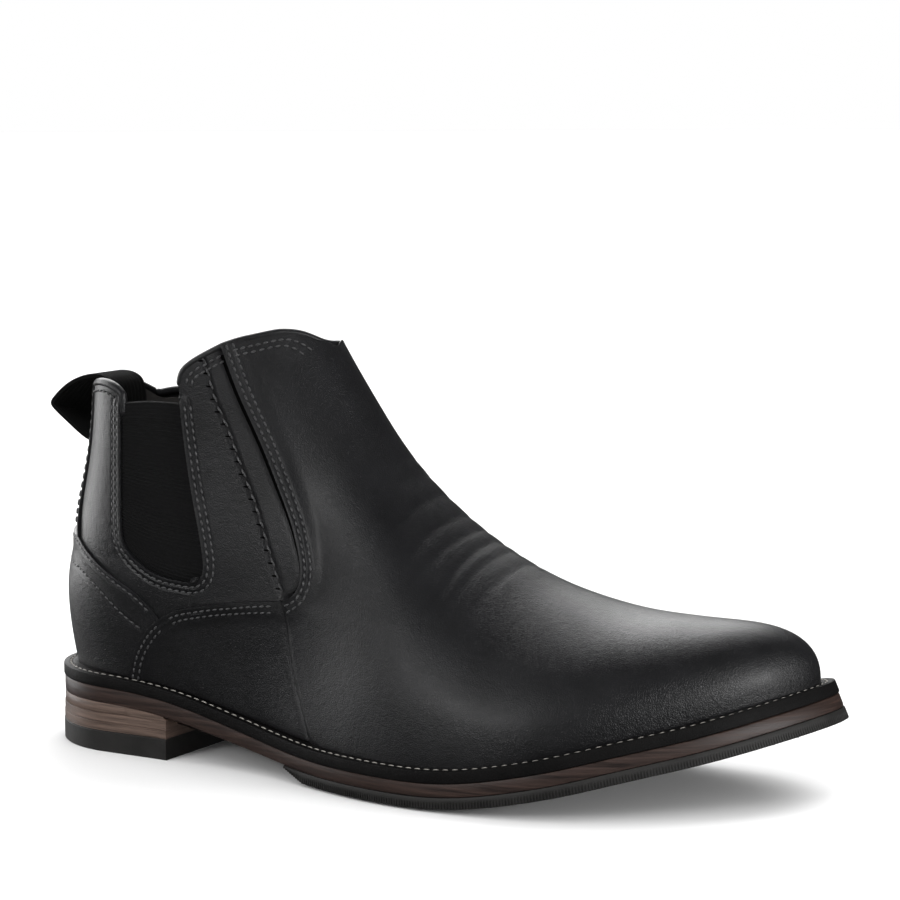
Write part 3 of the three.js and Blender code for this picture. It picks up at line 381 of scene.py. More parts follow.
def counter_lift(x, z):
    rows = stitch_channels(COUNTER_TOP_LINE, x, z, (NEAR_ROW,)) + stitch_channels(COUNTER_ROW, x, z, (0,))
    return lap(COUNTER_TOP_LINE, 1.0, 8, x, z) + rows


def backstay_lift(x, z):
    return lap(BACKSTAY_LINE, 1.2, 6, x, z)


def level(height):
    """A lift that is the same everywhere."""
    return lambda x, z: height + 0.0 * x


# ---------- modelling helpers ----------
def finish_mesh(piece, name, material, body="boot", replaces=(), angle=38):
    piece.name = name
    piece.data.name = name
    piece.data.materials.clear()
    piece.data.materials.append(material)
    bpy.ops.object.select_all(action="DESELECT")
    bpy.context.view_layer.objects.active = piece
    piece.select_set(True)
    bpy.ops.object.shade_smooth_by_angle(angle=math.radians(angle))
    if body:
        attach(piece, body)
    if replaces:
        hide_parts(*replaces)
    return piece


def apply_modifier(piece, kind, **settings):
    bpy.ops.object.select_all(action="DESELECT")
    bpy.context.view_layer.objects.active = piece
    piece.select_set(True)
    modifier = piece.modifiers.new(kind.title(), kind)
    for key, value in settings.items():
        setattr(modifier, key, value)
    bpy.ops.object.modifier_apply(modifier=modifier.name)


def start_grid(rows, columns):
    """A flat grid of rows by columns points, as an object, and the order of its points."""
    bpy.ops.object.select_all(action="DESELECT")
    bpy.ops.mesh.primitive_grid_add(x_subdivisions=columns - 1, y_subdivisions=rows - 1, size=2)
    piece = bpy.context.object
    count = len(piece.data.vertices)
    flat = np.empty(count * 3)
    piece.data.vertices.foreach_get("co", flat)
    flat = flat.reshape(-1, 3)
    order = np.lexsort((np.round(flat[:, 0], 5), np.round(-flat[:, 1], 5)))
    return piece, order


def lay(piece, order, points):
    """Moves the grid's points to their places, given in the last's frame."""
    placed = np.empty((len(order), 3))
    placed[order] = place(points.reshape(-1, 3))
    piece.data.vertices.foreach_set("co", placed.ravel())
    piece.data.update()


def measure_uv(piece, order, points):
    """UV in metres: across the middle row, and down the middle column."""
    rows, columns = points.shape[:2]
    steps = np.linalg.norm(np.diff(points[rows // 2], axis=0), axis=1)
    across = np.concatenate([[0], np.cumsum(steps)]) * MM
    steps = np.linalg.norm(np.diff(points[:, columns // 2], axis=0), axis=1)
    down = np.concatenate([[0], np.cumsum(steps)]) * MM
    grid = np.stack(np.meshgrid(across, down), -1).reshape(-1, 2)
    uv = np.empty((len(order), 2))
    uv[order] = grid
    layer = piece.data.uv_layers.active or piece.data.uv_layers.new(name="cloth")
    corners = np.empty(len(piece.data.loops), int)
    piece.data.loops.foreach_get("vertex_index", corners)
    layer.data.foreach_set("uv", uv[corners].ravel())


def leaf(name, points, normals, thickness, material, slot, replaces, edge=0.45,
         close_end=False):
    """A sheet of leather: a grid laid on its place, given thickness inwards and softened edges."""
    rows, columns = points.shape[:2]
    piece, order = start_grid(rows, columns)
    lay(piece, order, points)
    measure_uv(piece, order, points)
    mesh = bmesh.new()
    mesh.from_mesh(piece.data)
    if close_end:
        mesh.verts.ensure_lookup_table()
        ring = [mesh.verts[int(order[(rows - 1) * columns + j])] for j in range(columns)]
        mesh.faces.new(ring)
    bmesh.ops.remove_doubles(mesh, verts=mesh.verts, dist=2e-6)
    bmesh.ops.recalc_face_normals(mesh, faces=mesh.faces)
    mesh.normal_update()
    middle = place(points[rows // 2, columns // 2])
    outward = normals[rows // 2, columns // 2]
    nearest = min(mesh.faces, key=lambda f: (f.calc_center_median() - Vector(middle)).length)
    if nearest.normal.dot(Vector(outward)) < 0:
        bmesh.ops.reverse_faces(mesh, faces=mesh.faces)
    mesh.to_mesh(piece.data)
    mesh.free()
    apply_modifier(piece, "SOLIDIFY", thickness=thickness * MM, offset=-1.0, use_even_offset=False)
    if edge:
        apply_modifier(piece, "BEVEL", width=edge * MM, segments=2, limit_method="ANGLE",
                       angle_limit=math.radians(50), use_clamp_overlap=True)
    return finish_mesh(piece, name, material, "boot", replaces)


def side_leaf(name, lines, rows, columns, side, lift, thickness, material, slot, replaces, **extra):
    grid = patch(*lines, rows, np.linspace(0, 1, columns + 1))
    points, normals = laid(grid[..., 0], grid[..., 1], side)
    points = points + normals * np.asarray(lift(grid[..., 0], grid[..., 1]))[..., None]
    return leaf(name, points, normals, thickness, material, slot, replaces, **extra)


def wrap_leaf(name, lines, rows, columns, lift, thickness, material, slot, replaces, gather=1.0, **extra):
    """A sheet on both sides at once, its left line being the middle of the boot."""
    shares = ease(0, 1, np.arange(columns + 1) / columns)
    half = patch(*lines, rows, shares, gather)
    heights = np.asarray(lift(half[..., 0], half[..., 1]))[..., None]
    outer, outer_normals = laid(half[..., 0], half[..., 1], LATERAL)
    inner, inner_normals = laid(half[..., 0], half[..., 1], MEDIAL)
    points = np.concatenate([(outer + outer_normals * heights)[:, :0:-1], inner + inner_normals * heights], 1)
    normals = np.concatenate([outer_normals[:, :0:-1], inner_normals], 1)
    return leaf(name, points, normals, thickness, material, slot, replaces, **extra)


def path_on_last(line, side, lift, extra=0.0):
    """A side-view line laid on the lifted leather, with normals."""
    points, normals = laid(line[:, 0], line[:, 1], side)
    heights = np.asarray(lift(line[:, 0], line[:, 1])) + extra
    return points + normals * heights[:, None], normals


def resample(points, normals, pitch):
    reach = np.concatenate([[0], np.cumsum(np.linalg.norm(np.diff(points, axis=0), axis=1))])
    count = max(int(reach[-1] / pitch), 1)
    at = (np.arange(count) + 0.5) * reach[-1] / count
    centres = np.stack([np.interp(at, reach, points[:, k]) for k in range(3)], 1)
    ahead = np.stack([np.interp(at + 0.4, reach, points[:, k]) for k in range(3)], 1)
    behind = np.stack([np.interp(at - 0.4, reach, points[:, k]) for k in range(3)], 1)
    ups = np.stack([np.interp(at, reach, normals[:, k]) for k in range(3)], 1)
    ways = ahead - behind
    return centres, ways / np.maximum(np.linalg.norm(ways, axis=1, keepdims=True), 1e-9), ups


def one_stitch():
    """Points and faces of one stitch: a round bead, one long, in an order that is the same every time."""
    bpy.ops.object.select_all(action="DESELECT")
    bpy.ops.mesh.primitive_uv_sphere_add(segments=6, ring_count=5, radius=0.5)
    bead = bpy.context.object
    bpy.ops.object.mode_set(mode="EDIT")
    bpy.ops.transform.rotate(value=math.pi / 2, orient_axis="Y", center_override=(0, 0, 0))
    bpy.ops.object.mode_set(mode="OBJECT")
    points = np.array([v.co[:] for v in bead.data.vertices])
    order = np.lexsort(np.round(points.T, 5))
    rank = np.argsort(order)
    faces = []
    for polygon in bead.data.polygons:
        corners = [int(rank[i]) for i in polygon.vertices]
        first = corners.index(min(corners))
        faces.append(tuple(corners[first:] + corners[:first]))
    bpy.data.objects.remove(bead)
    return points[order], sorted(faces)


STITCH_POINTS, STITCH_FACES = one_stitch()


def stitches(name, rows, pitch, size, material, lean=0.0):
    """Rows of stitches; each row is points and normals in the last's frame. size is length, width, height."""
    points, faces = [], []
    for row_points, row_normals in rows:
        centres, ways, ups = resample(row_points, row_normals, pitch)
        across = np.cross(ups, ways)
        across /= np.linalg.norm(across, axis=1, keepdims=True)
        ups = np.cross(ways, across)
        turned = ways * math.cos(lean) + across * math.sin(lean)
        across = across * math.cos(lean) - ways * math.sin(lean)
        for c, w, a, u in zip(centres, turned, across, ups):
            base = len(points) * len(STITCH_POINTS)
            shaped = STITCH_POINTS * np.array(size)
            points.append(c + shaped[:, :1] * w + shaped[:, 1:2] * a + shaped[:, 2:] * u)
            faces += [tuple(base + i for i in f) for f in STITCH_FACES]
    mesh = bpy.data.meshes.new(name)
    mesh.from_pydata(place(np.concatenate(points)).tolist(), [], faces)
    piece = bpy.data.objects.new(name, mesh)
    bpy.context.scene.collection.objects.link(piece)
    return finish_mesh(piece, name, material, "boot", (), 60)


def tube(name, points, normals, radius, material, sides, flat, round_ends=False):
    """A roll of leather along points of the last's frame, flattened square to the normals."""
    ways = np.gradient(points, axis=0)
    ways /= np.linalg.norm(ways, axis=1, keepdims=True)
    across = np.cross(ways, normals)
    across /= np.linalg.norm(across, axis=1, keepdims=True)
    ups = np.cross(across, ways)
    turn = np.linspace(0, 2 * math.pi, sides, endpoint=False)
    ring = across[:, None] * np.cos(turn)[None, :, None] * flat + ups[:, None] * np.sin(turn)[None, :, None]
    if round_ends:
        reach = np.concatenate([[0], np.cumsum(np.linalg.norm(np.diff(points, axis=0), axis=1))])
        near_end = np.clip(np.minimum(reach, reach[-1] - reach) / (1.2 * radius), 0, 1)
        radius = radius * np.sqrt(np.maximum(1 - (1 - near_end) ** 2, 0.02))[:, None, None]
    return skin(name, points[:, None] + radius * ring, material, "boot")


def skin(name, grid, material, body, replaces=(), angle=38):
    """A closed skin over rings of points, capped at both ends."""
    rings, sides = grid.shape[:2]
    piece, order = start_grid(rings, sides)
    lay(piece, order, grid)
    mesh = bmesh.new()
    mesh.from_mesh(piece.data)
    mesh.verts.ensure_lookup_table()
    at = [[mesh.verts[int(order[i * sides + j])] for j in range(sides)] for i in range(rings)]
    for i in range(rings - 1):
        mesh.faces.new((at[i][-1], at[i][0], at[i + 1][0], at[i + 1][-1]))
    mesh.faces.new(at[0])
    mesh.faces.new(at[-1])
    bmesh.ops.remove_doubles(mesh, verts=mesh.verts, dist=1e-6)
    bmesh.ops.recalc_face_normals(mesh, faces=mesh.faces)
    mesh.to_mesh(piece.data)
    mesh.free()
    return finish_mesh(piece, name, material, body, replaces, angle)


# ---------- materials ----------
def new_material(name, color, roughness, specular):
    material = bpy.data.materials.new(name)
    material.use_nodes = True
    tree = material.node_tree
    shader = tree.nodes["Principled BSDF"]
    shader.inputs["Base Color"].default_value = (*color, 1)
    shader.inputs["Roughness"].default_value = roughness
    shader.inputs["Specular IOR Level"].default_value = specular
    return material, tree, shader


def node(tree, kind, inputs=None, **settings):
    made = tree.nodes.new(kind)
    for key, value in settings.items():
        setattr(made, key, value)
    for key, value in (inputs or {}).items():
        if isinstance(value, bpy.types.NodeSocket):
            tree.links.new(value, made.inputs[key])
        else:
            made.inputs[key].default_value = value
    return made


def ramp(tree, source, marks, interpolation="LINEAR"):
    made = tree.nodes.new("ShaderNodeValToRGB")
    made.color_ramp.interpolation = interpolation
    elements = made.color_ramp.elements
    while len(elements) < len(marks):
        elements.new(0.5)
    for element, (position, color) in zip(elements, marks):
        element.position = position
        element.color = color if len(color) == 4 else (*color, 1)
    tree.links.new(source, made.inputs["Fac"])
    return made


def noise(tree, where, scale, detail, roughness=0.5):
    return node(tree, "ShaderNodeTexNoise", {"Vector": where, "Scale": scale, "Detail": detail,
                                             "Roughness": roughness})


def relief(tree, height, distance, strength, under=None):
    """A bump `distance` metres high, over the one `under` it."""
    inputs = {"Height": height, "Distance": distance, "Strength": strength}
    if under:
        inputs["Normal"] = under.outputs["Normal"]
    return node(tree, "ShaderNodeBump", inputs)


def grey(value):
    return (value, value, value, 1)


def leather(name, color, roughness, grain_depth, coat=0.08, specular=0.42):
    """Smooth waxed calf: small grain cells and pores, faint mottling in colour and gloss."""
    material, tree, shader = new_material(name, color, roughness, specular)
    where = tree.nodes.new("ShaderNodeTexCoord").outputs["Object"]
    mottle = noise(tree, where, 45.0, 5.0, 0.6)
    dark = tuple(c * 0.72 for c in color)
    light = tuple(c * 1.35 for c in color)
    tone = ramp(tree, mottle.outputs["Fac"], [(0.3, dark), (0.7, light)])
    tree.links.new(tone.outputs["Color"], shader.inputs["Base Color"])
    wax = noise(tree, where, 28.0, 4.0, 0.65)
    gloss = ramp(tree, wax.outputs["Fac"], [(0.3, grey(roughness - 0.06)), (0.7, grey(roughness + 0.08))])
    tree.links.new(gloss.outputs["Color"], shader.inputs["Roughness"])
    cells = node(tree, "ShaderNodeTexVoronoi", {"Vector": where, "Scale": 1300.0, "Randomness": 1.0},
                 feature="DISTANCE_TO_EDGE")
    cell_edges = ramp(tree, cells.outputs["Distance"], [(0.0, grey(0.0)), (0.22, grey(1.0))], "EASE")
    warp = noise(tree, where, 420.0, 6.0, 0.7)
    pores = node(tree, "ShaderNodeTexVoronoi", {"Vector": where, "Scale": 520.0, "Randomness": 1.0})
    pits = ramp(tree, pores.outputs["Distance"], [(0.02, grey(0.0)), (0.16, grey(1.0))], "EASE")
    first = relief(tree, cell_edges.outputs["Color"], 0.00009, grain_depth)
    second = relief(tree, warp.outputs["Fac"], 0.00045, grain_depth, first)
    third = relief(tree, pits.outputs["Color"], 0.00012, grain_depth, second)
    tree.links.new(third.outputs["Normal"], shader.inputs["Normal"])
    shader.inputs["Coat Weight"].default_value = coat
    shader.inputs["Coat Roughness"].default_value = 0.28
    return material


def ribbed_cloth(name, color, rib_scale, along_v, roughness=0.88):
    """Elastic or webbing: threads over the ribs, from the piece's own UV in metres."""
    material, tree, shader = new_material(name, color, roughness, 0.15)
    where = tree.nodes.new("ShaderNodeTexCoord").outputs["UV"]
    ribs = node(tree, "ShaderNodeTexWave", {"Vector": where, "Scale": rib_scale, "Distortion": 0.4,
                                            "Detail": 2.0}, bands_direction="Y" if along_v else "X")
    threads = node(tree, "ShaderNodeTexWave", {"Vector": where, "Scale": 640.0, "Distortion": 1.2,
                                               "Detail": 2.0}, bands_direction="X" if along_v else "Y")
    fuzz = noise(tree, where, 2600.0, 3.0)
    mixed = node(tree, "ShaderNodeMath", {0: threads.outputs["Fac"], 1: fuzz.outputs["Fac"]},
                 operation="MULTIPLY")
    tone = ramp(tree, mixed.outputs["Value"], [(0.1, tuple(c * 0.5 for c in color)),
                                               (0.6, tuple(min(c * 1.9, 1) for c in color))])
    tree.links.new(tone.outputs["Color"], shader.inputs["Base Color"])
    first = relief(tree, ribs.outputs["Fac"], 0.00035, 0.6)
    second = relief(tree, mixed.outputs["Value"], 0.0002, 0.7, first)
    tree.links.new(second.outputs["Normal"], shader.inputs["Normal"])
    shader.inputs["Sheen Weight"].default_value = 0.02
    return material


def stacked(name, dark, light, layers):
    """Edge of stacked leather: thin level layers, streaks along them, a waxed finish."""
    material, tree, shader = new_material(name, light, 0.42, 0.4)
    where = tree.nodes.new("ShaderNodeTexCoord").outputs["Object"]
    flat = node(tree, "ShaderNodeMapping", {"Vector": where, "Scale": (28.0, 28.0, layers)})
    streaks = noise(tree, flat.outputs["Vector"], 1.0, 7.0, 0.72)
    halfway = tuple((a + b) / 2 for a, b in zip(dark, light))
    tone = ramp(tree, streaks.outputs["Fac"], [(0.30, dark), (0.5, halfway), (0.68, light)])
    tree.links.new(tone.outputs["Color"], shader.inputs["Base Color"])
    wear = ramp(tree, streaks.outputs["Fac"], [(0.3, grey(0.36)), (0.7, grey(0.55))])
    tree.links.new(wear.outputs["Color"], shader.inputs["Roughness"])
    bump = relief(tree, streaks.outputs["Fac"], 0.0003, 0.5)
    tree.links.new(bump.outputs["Normal"], shader.inputs["Normal"])
    return material


def rubber(name, color):
    """Moulded rubber: dull, dusty and gritty."""
    material, tree, shader = new_material(name, color, 0.6, 0.4)
    where = tree.nodes.new("ShaderNodeTexCoord").outputs["Object"]
    dust = noise(tree, where, 90.0, 6.0, 0.7)
    tone = ramp(tree, dust.outputs["Fac"], [(0.3, tuple(c * 0.7 for c in color)),
                                            (0.72, tuple(c * 1.5 for c in color))])
    tree.links.new(tone.outputs["Color"], shader.inputs["Base Color"])
    rough = ramp(tree, dust.outputs["Fac"], [(0.3, grey(0.52)), (0.7, grey(0.7))])
    tree.links.new(rough.outputs["Color"], shader.inputs["Roughness"])
    grit = noise(tree, where, 1900.0, 3.0)
    bump = relief(tree, grit.outputs["Fac"], 0.0001, 0.5)
    tree.links.new(bump.outputs["Normal"], shader.inputs["Normal"])
    return material


def plain(name, color, roughness, metallic=0.0, scale=300.0, variation=0.25, specular=0.5):
    """One colour, a little mottled, with a fine tooth."""
    material, tree, shader = new_material(name, color, roughness, specular)
    shader.inputs["Metallic"].default_value = metallic
    where = tree.nodes.new("ShaderNodeTexCoord").outputs["Object"]
    spots = noise(tree, where, scale, 5.0)
    tone = ramp(tree, spots.outputs["Fac"], [(0.3, tuple(c * (1 - variation) for c in color)),
                                             (0.7, tuple(min(1, c * (1 + variation)) for c in color))])
    tree.links.new(tone.outputs["Color"], shader.inputs["Base Color"])
    bump = relief(tree, spots.outputs["Fac"], 0.0002, 0.4)
    tree.links.new(bump.outputs["Normal"], shader.inputs["Normal"])
    return material


CALF = leather("waxed_black_calf", (0.0050, 0.0050, 0.0056), 0.36, 0.5)
WELT_LEATHER = leather("black_welt", (0.0030, 0.0028, 0.0028), 0.55, 0.5, 0.0, 0.12)
LINING_HIDE = leather("dark_lining", (0.030, 0.028, 0.027), 0.62, 0.6, 0.0)
ELASTIC = ribbed_cloth("black_elastic", (0.0030, 0.0030, 0.0032), 220.0, True)
WEBBING = ribbed_cloth("black_webbing", (0.0022, 0.0022, 0.0022), 130.0, False)
STACK = stacked("stacked_heel_leather", (0.030, 0.020, 0.016), (0.135, 0.090, 0.070), 900.0)
MIDSOLE_EDGE = stacked("midsole_leather_edge", (0.004, 0.003, 0.003), (0.038, 0.021, 0.016), 700.0)
RUBBER = rubber("black_rubber", (0.0110, 0.0105, 0.0100))
BLACK_THREAD = plain("black_thread", (0.038, 0.038, 0.039), 0.38, 0.0, 1400.0, 0.5)
# dead black without gloss: painted shade, used for the shadow at the foot of the vamp's edge and for the dark
# marks across the lock seam
SHADE_BLACK = plain("painted_shade_black", (0.0010, 0.0010, 0.0010), 0.95, specular=0.03)
WELT_THREAD = plain("grey_welt_thread", (0.30, 0.285, 0.26), 0.6, 0.0, 1400.0, 0.35)
BOARD = plain("fibre_board", (0.42, 0.30, 0.18), 0.85)
CORK = plain("cork", (0.30, 0.18, 0.09), 0.9, 0.0, 500.0, 0.6)
STEEL = plain("steel", (0.55, 0.55, 0.56), 0.35, 1.0, 900.0, 0.1)


# ---------- upper ----------
def make_vamp():
    lines = ([ridge_line(COLLAR_PEAK, 174), ridge_line(174, 204), ridge_line(204, TOE_FRONT)],
             [VAMP_EDGE_LINE, SIDE_SEAM_LINE, feather(SIDE_FOOT, TOE_FRONT)],
             curve(COLLAR_FRONT),
             np.array([[TOE_FRONT, ridge(TOE_FRONT) - 1e-4], [TOE_FRONT, welt_top(TOE_FRONT) - 0.4]]))
    rows = {"left": [60, 22, 84], "right": [60, 22, 84]}
    wrap_leaf("vamp_leather", lines, rows, 76, vamp_lift, LEATHER, CALF, "black_leather", ["vamp"],
              gather=1.6, close_end=True, edge=0.6)
    rows = {"left": [20, 8, 26], "right": [20, 8, 26]}
    wrap_leaf("vamp_lining_leather", lines, rows, 18, level(-LINING_DEPTH), LINING, LINING_HIDE, "lining",
              ["vamp_lining"], gather=1.6, close_end=True, edge=0)


def make_sides():
    for side, name in SIDES.items():
        above_gore = np.array([side_view(*COLLAR_QUARTER[0]), side_view(*GORE_FRONT[0])])
        front_lines = ([chain(above_gore, curve(GORE_FRONT)), curve(QUARTER_SEAM)],
                       [offset_line(VAMP_EDGE_LINE, 0.9)], curve(COLLAR_QUARTER), curve(FOXING_TOP[2:]))
        side_leaf(f"front_quarter_leather_{name}", front_lines, {"left": [58, 10], "right": [68]}, 56, side,
                  quarter_lift, LEATHER, CALF, "black_leather", [f"front_quarter_{name}"])

        above_gore = np.array([side_view(*BACK_TOP[-1]), side_view(*GORE_BACK[0])])
        back_lines = ([curve(BACKSTAY_EDGE), curve(COUNTER_TOP), curve(FOXING_TOP[:3])],
                      [chain(above_gore, curve(GORE_BACK)), curve(GORE_FOOT)],
                      curve(BACK_TOP), curve(QUARTER_SEAM[::-1]))
        side_leaf(f"back_quarter_leather_{name}", back_lines, {"left": [40, 30, 10], "right": [50, 30]}, 40,
                  side, quarter_lift, LEATHER, CALF, "black_leather", [f"back_quarter_{name}"])

        foxing_lines = ([FOXING_BACK_LINE], [SIDE_SEAM_LINE], FOXING_TOP_LINE,
                        feather(FOXING_FOOT, SIDE_FOOT))
        side_leaf(f"side_foxing_leather_{name}", foxing_lines, {"left": [30], "right": [30]}, 56, side,
                  foxing_lift, LEATHER, CALF, "black_leather", [f"side_foxing_{name}"])
        make_gore(side, name)

        lining_lines = ([LINING_JOIN_LINE],
                        [VAMP_EDGE_LINE, SIDE_SEAM_LINE],
                        chain(curve([(45, 100.4), (53, 101.4), (62, 102.4), (68.4, 103.4)], 12),
                              curve([(68.4, 103.4), (70.4, 111), (74.6, 119), (79.9, 123.4), (85.5, 127.9)],
                                    16)),
                        feather(LINING_JOIN, SIDE_FOOT))
        side_leaf(f"quarter_lining_leather_{name}", lining_lines, {"left": [40], "right": [30, 10]}, 20, side,
                  level(-LINING_DEPTH), LINING, LINING_HIDE, "lining", [f"quarter_lining_{name}"], edge=0)


def make_gore(side, name):
    """Ribbed elastic: level ribs across the whole gore, tucked under the leather round it."""
    tuck, sunk, rib_height, rows_per_rib, hem_rows = 1.6, -1.1, 0.16, 5.0, 24
    lines = ([offset_line(curve(GORE_BACK), -tuck)], [offset_line(curve(GORE_FRONT), tuck)],
             curve(GORE_TOP), offset_line(curve(GORE_FOOT), -tuck))
    rows = 240
    grid = patch(*lines, {"left": [rows], "right": [rows]}, np.linspace(0, 1, 25))
    points, normals = laid(grid[..., 0], grid[..., 1], side)
    rib = rib_height * np.cos(2 * np.pi * np.arange(rows + 1) / rows_per_rib)
    hem = np.where(np.arange(rows + 1) < hem_rows, 0.45, 0.0)
    points = points + normals * (sunk + rib + hem)[:, None, None]
    leaf(f"gore_elastic_{name}", points, normals, ELASTIC_THICK, ELASTIC, "elastic", [f"gore_{name}"],
         edge=0.3)


def make_back():
    foot = float(back(SEAT))
    counter_top = np.array([back_seam(COUNTER_PEAK, 0, 1)[0], side_view(12, 50.9), BACKSTAY_FOOT])
    counter_lines = ([back_seam(COUNTER_PEAK, -0.4)], [FOXING_BACK_LINE],
                     chain(counter_top, curve(COUNTER_TOP)), feather(foot, FOXING_FOOT))
    wrap_leaf("heel_counter_leather", counter_lines, {"left": [44], "right": [44]}, 44, counter_lift, LEATHER,
              CALF, "black_leather", ["heel_counter_cover"])
    backstay_lines = ([back_seam(BACK_RIM, COUNTER_PEAK)], [BACKSTAY_LINE],
                      np.array([back_seam(BACK_RIM, 0, 1)[0], BACKSTAY_CORNER]),
                      np.array([back_seam(COUNTER_PEAK, 0, 1)[0], BACKSTAY_FOOT]))
    wrap_leaf("backstay_leather", backstay_lines, {"left": [44], "right": [44]}, 16, backstay_lift, LEATHER,
              CALF, "black_leather", ["backstay"])
    lining_lines = ([back_seam(BACK_RIM - 1, 0)], [LINING_JOIN_LINE],
                    chain(np.array([back_seam(BACK_RIM - 1, 0, 1)[0], side_view(22, 103.4)]),
                          curve([(22, 103.4), (34, 104.4), (45, 100.4)], 12)),
                    feather(foot, LINING_JOIN))
    wrap_leaf("heel_lining_leather", lining_lines, {"left": [30], "right": [30]}, 16, level(-LINING_DEPTH),
              LINING, LINING_HIDE, "lining", ["heel_lining"], edge=0)


def make_collar_edges():
    """Rolled edges where the upper and its lining meet along the collar."""
    sunk, flat, sides, ends = level(-1.2), 0.9, 14, 60
    front_line = chain(curve(COLLAR_FRONT), curve(COLLAR_QUARTER)[::-1])
    outer, outer_normals = path_on_last(front_line, LATERAL, sunk)
    inner, inner_normals = path_on_last(front_line, MEDIAL, sunk)
    points = np.concatenate([outer[:1:-1], inner[2:]])
    normals = np.concatenate([outer_normals[:1:-1], inner_normals[2:]])
    for _ in range(12):
        for row in (points, normals):
            row[ends:-ends] = (row[ends - 1:-ends - 1] + 2 * row[ends:-ends] + row[ends + 1:1 - ends]) / 4
    normals /= np.linalg.norm(normals, axis=1, keepdims=True)
    tube("front_collar_roll", points, normals, 1.5, CALF, sides, flat, round_ends=True)
    heel_line = chain(curve(BACK_TOP), curve([(45.3, 104.5), (45.6, 101), (45.2, 96)], 10))
    for side, name in SIDES.items():
        points, normals = path_on_last(heel_line, side, sunk)
        tube(f"back_collar_roll_{name}", points, normals, 1.75, CALF, sides, flat, round_ends=True)
    rim = np.array([[back(SEAT + BACK_RIM), SEAT + BACK_RIM], BACKSTAY_CORNER])
    rim = along(rim, (np.arange(17) / 16) ** 2)
    outer, outer_normals = path_on_last(rim, LATERAL, sunk)
    inner, inner_normals = path_on_last(rim, MEDIAL, sunk)
    tube("heel_collar_roll", np.concatenate([outer[:0:-1], inner]),
         np.concatenate([outer_normals[:0:-1], inner_normals]), 1.6, CALF, sides, flat)


def make_vamp_edge_shadow():
    """Painted shadow: a thin dead-black band without gloss at the foot of the vamp's edge, where the lapped
    edge shades the quarter.
    """
    line = offset_line(VAMP_EDGE_LINE, -0.9)[1:-1]
    for side, name in SIDES.items():
        points, normals = path_on_last(line, side, quarter_lift, -0.35)
        tube(f"vamp_edge_painted_shadow_{name}", points, normals, 1.0, SHADE_BLACK, 10, 1.3)


def make_upper_stitching():
    proud, collar_margin = 0.16, 1.3
    rows, heavy = [], []
    for side in SIDES:
        for distance in (NEAR_ROW, FAR_ROW):
            vamp_row = offset_line(VAMP_EDGE_LINE, distance)
            foxing_top = offset_line(FOXING_TOP_LINE, -distance)[3:-3]
            gore_row = chain(offset_line(curve(GORE_BACK), -distance),
                             offset_line(curve(GORE_FOOT), -distance)[2:-1],
                             offset_line(curve(GORE_FRONT), distance)[::-1])
            foxing_back = offset_line(FOXING_BACK_LINE, distance)[3:]
            collar = chain(curve(COLLAR_FRONT), curve(COLLAR_QUARTER)[::-1])
            collar = offset_line(collar, collar_margin + distance)
            for line, lift in ((vamp_row, vamp_lift), (foxing_top, foxing_lift), (gore_row, quarter_lift),
                               (foxing_back, foxing_lift), (collar[2:38], vamp_lift),
                               (collar[42:-2], quarter_lift)):
                rows.append(path_on_last(line, side, lift, proud))
        rows.append(path_on_last(offset_line(COUNTER_TOP_LINE, -NEAR_ROW)[:-4], side, counter_lift, proud))
        rows.append(path_on_last(COUNTER_ROW, side, counter_lift, proud))
        heavy.append(path_on_last(offset_line(BACKSTAY_LINE, -1.2)[2:-4], side, backstay_lift, 0.25))
        rows.append(path_on_last(offset_line(curve(BACK_TOP), -3.0)[2:-2], side, quarter_lift, 0.2))
    stitches("upper_stitching", rows, 2.7, (2.0, 0.85, 0.9), BLACK_THREAD, 0.12)
    stitches("back_strip_stitching", heavy, 3.3, (2.7, 1.1, 1.0), BLACK_THREAD, 0.2)


def make_lock_seam():
    """Heavy seam down each front quarter: long threads in a channel, with short ones across it, coloured dead
    black as painted shade of the stitch holes.
    """
    pitch = 4.6
    line = curve(LOCK_SEAM, 80)
    rows, ticks = [], []
    for side in SIDES:
        rows.append(path_on_last(line, side, quarter_lift, 0.35))
        ticks.append(path_on_last(offset_line(line, -0.9), side, quarter_lift, 0.3))
    stitches("lock_seam_threads", rows, pitch, (3.6, 0.95, 1.0), BLACK_THREAD, 0.16)
    # the short threads across are dead black without gloss: painted shade at each stitch's end
    stitches("lock_seam_shaded_cross_threads", ticks, pitch, (2.2, 0.6, 0.6), SHADE_BLACK, 1.15)


# ---------- sole ----------
SOLE_EDGE_HEEL, SOLE_EDGE_SIDE, SOLE_EDGE_TOE = 3.6, 5.0, 7.0
WELT_THICK, FOREPART_DEPTH = 4.4, 13.8
MIDSOLE_TOP, OUTSOLE_TOP = 4.45, 9.3     # depths under the top of the welt


def sole_plan(x, side, inset):
    grow = np.where(x < 150, SOLE_EDGE_HEEL + (SOLE_EDGE_SIDE - SOLE_EDGE_HEEL) * ease(40, 150, x),
                    SOLE_EDGE_SIDE + (SOLE_EDGE_TOE - SOLE_EDGE_SIDE) * ease(220, 290, x))
    end = SOLE_LENGTH - inset
    line = np.where(side < 0, outer_line(x), inner_line(x))
    width = np.abs(line - centre(x)) + grow - inset
    toe = np.where(side < 0, round_off(x, 208, end, 2.5, 1.75), round_off(x, 248, end, 2.8, 2.1))
    heel_round = np.sqrt(np.maximum(0, 1 - np.clip((36 - x) / (36 - inset), 0, 1) ** 2.1))
    return centre(x) + side * np.maximum(width, 0) * toe * heel_round


def under_welt(x, depth):
    slope = welt_top(x + 0.5) - welt_top(x - 0.5)
    norm = np.hypot(1, slope)
    return x + depth * slope / norm, welt_top(x) - depth / norm


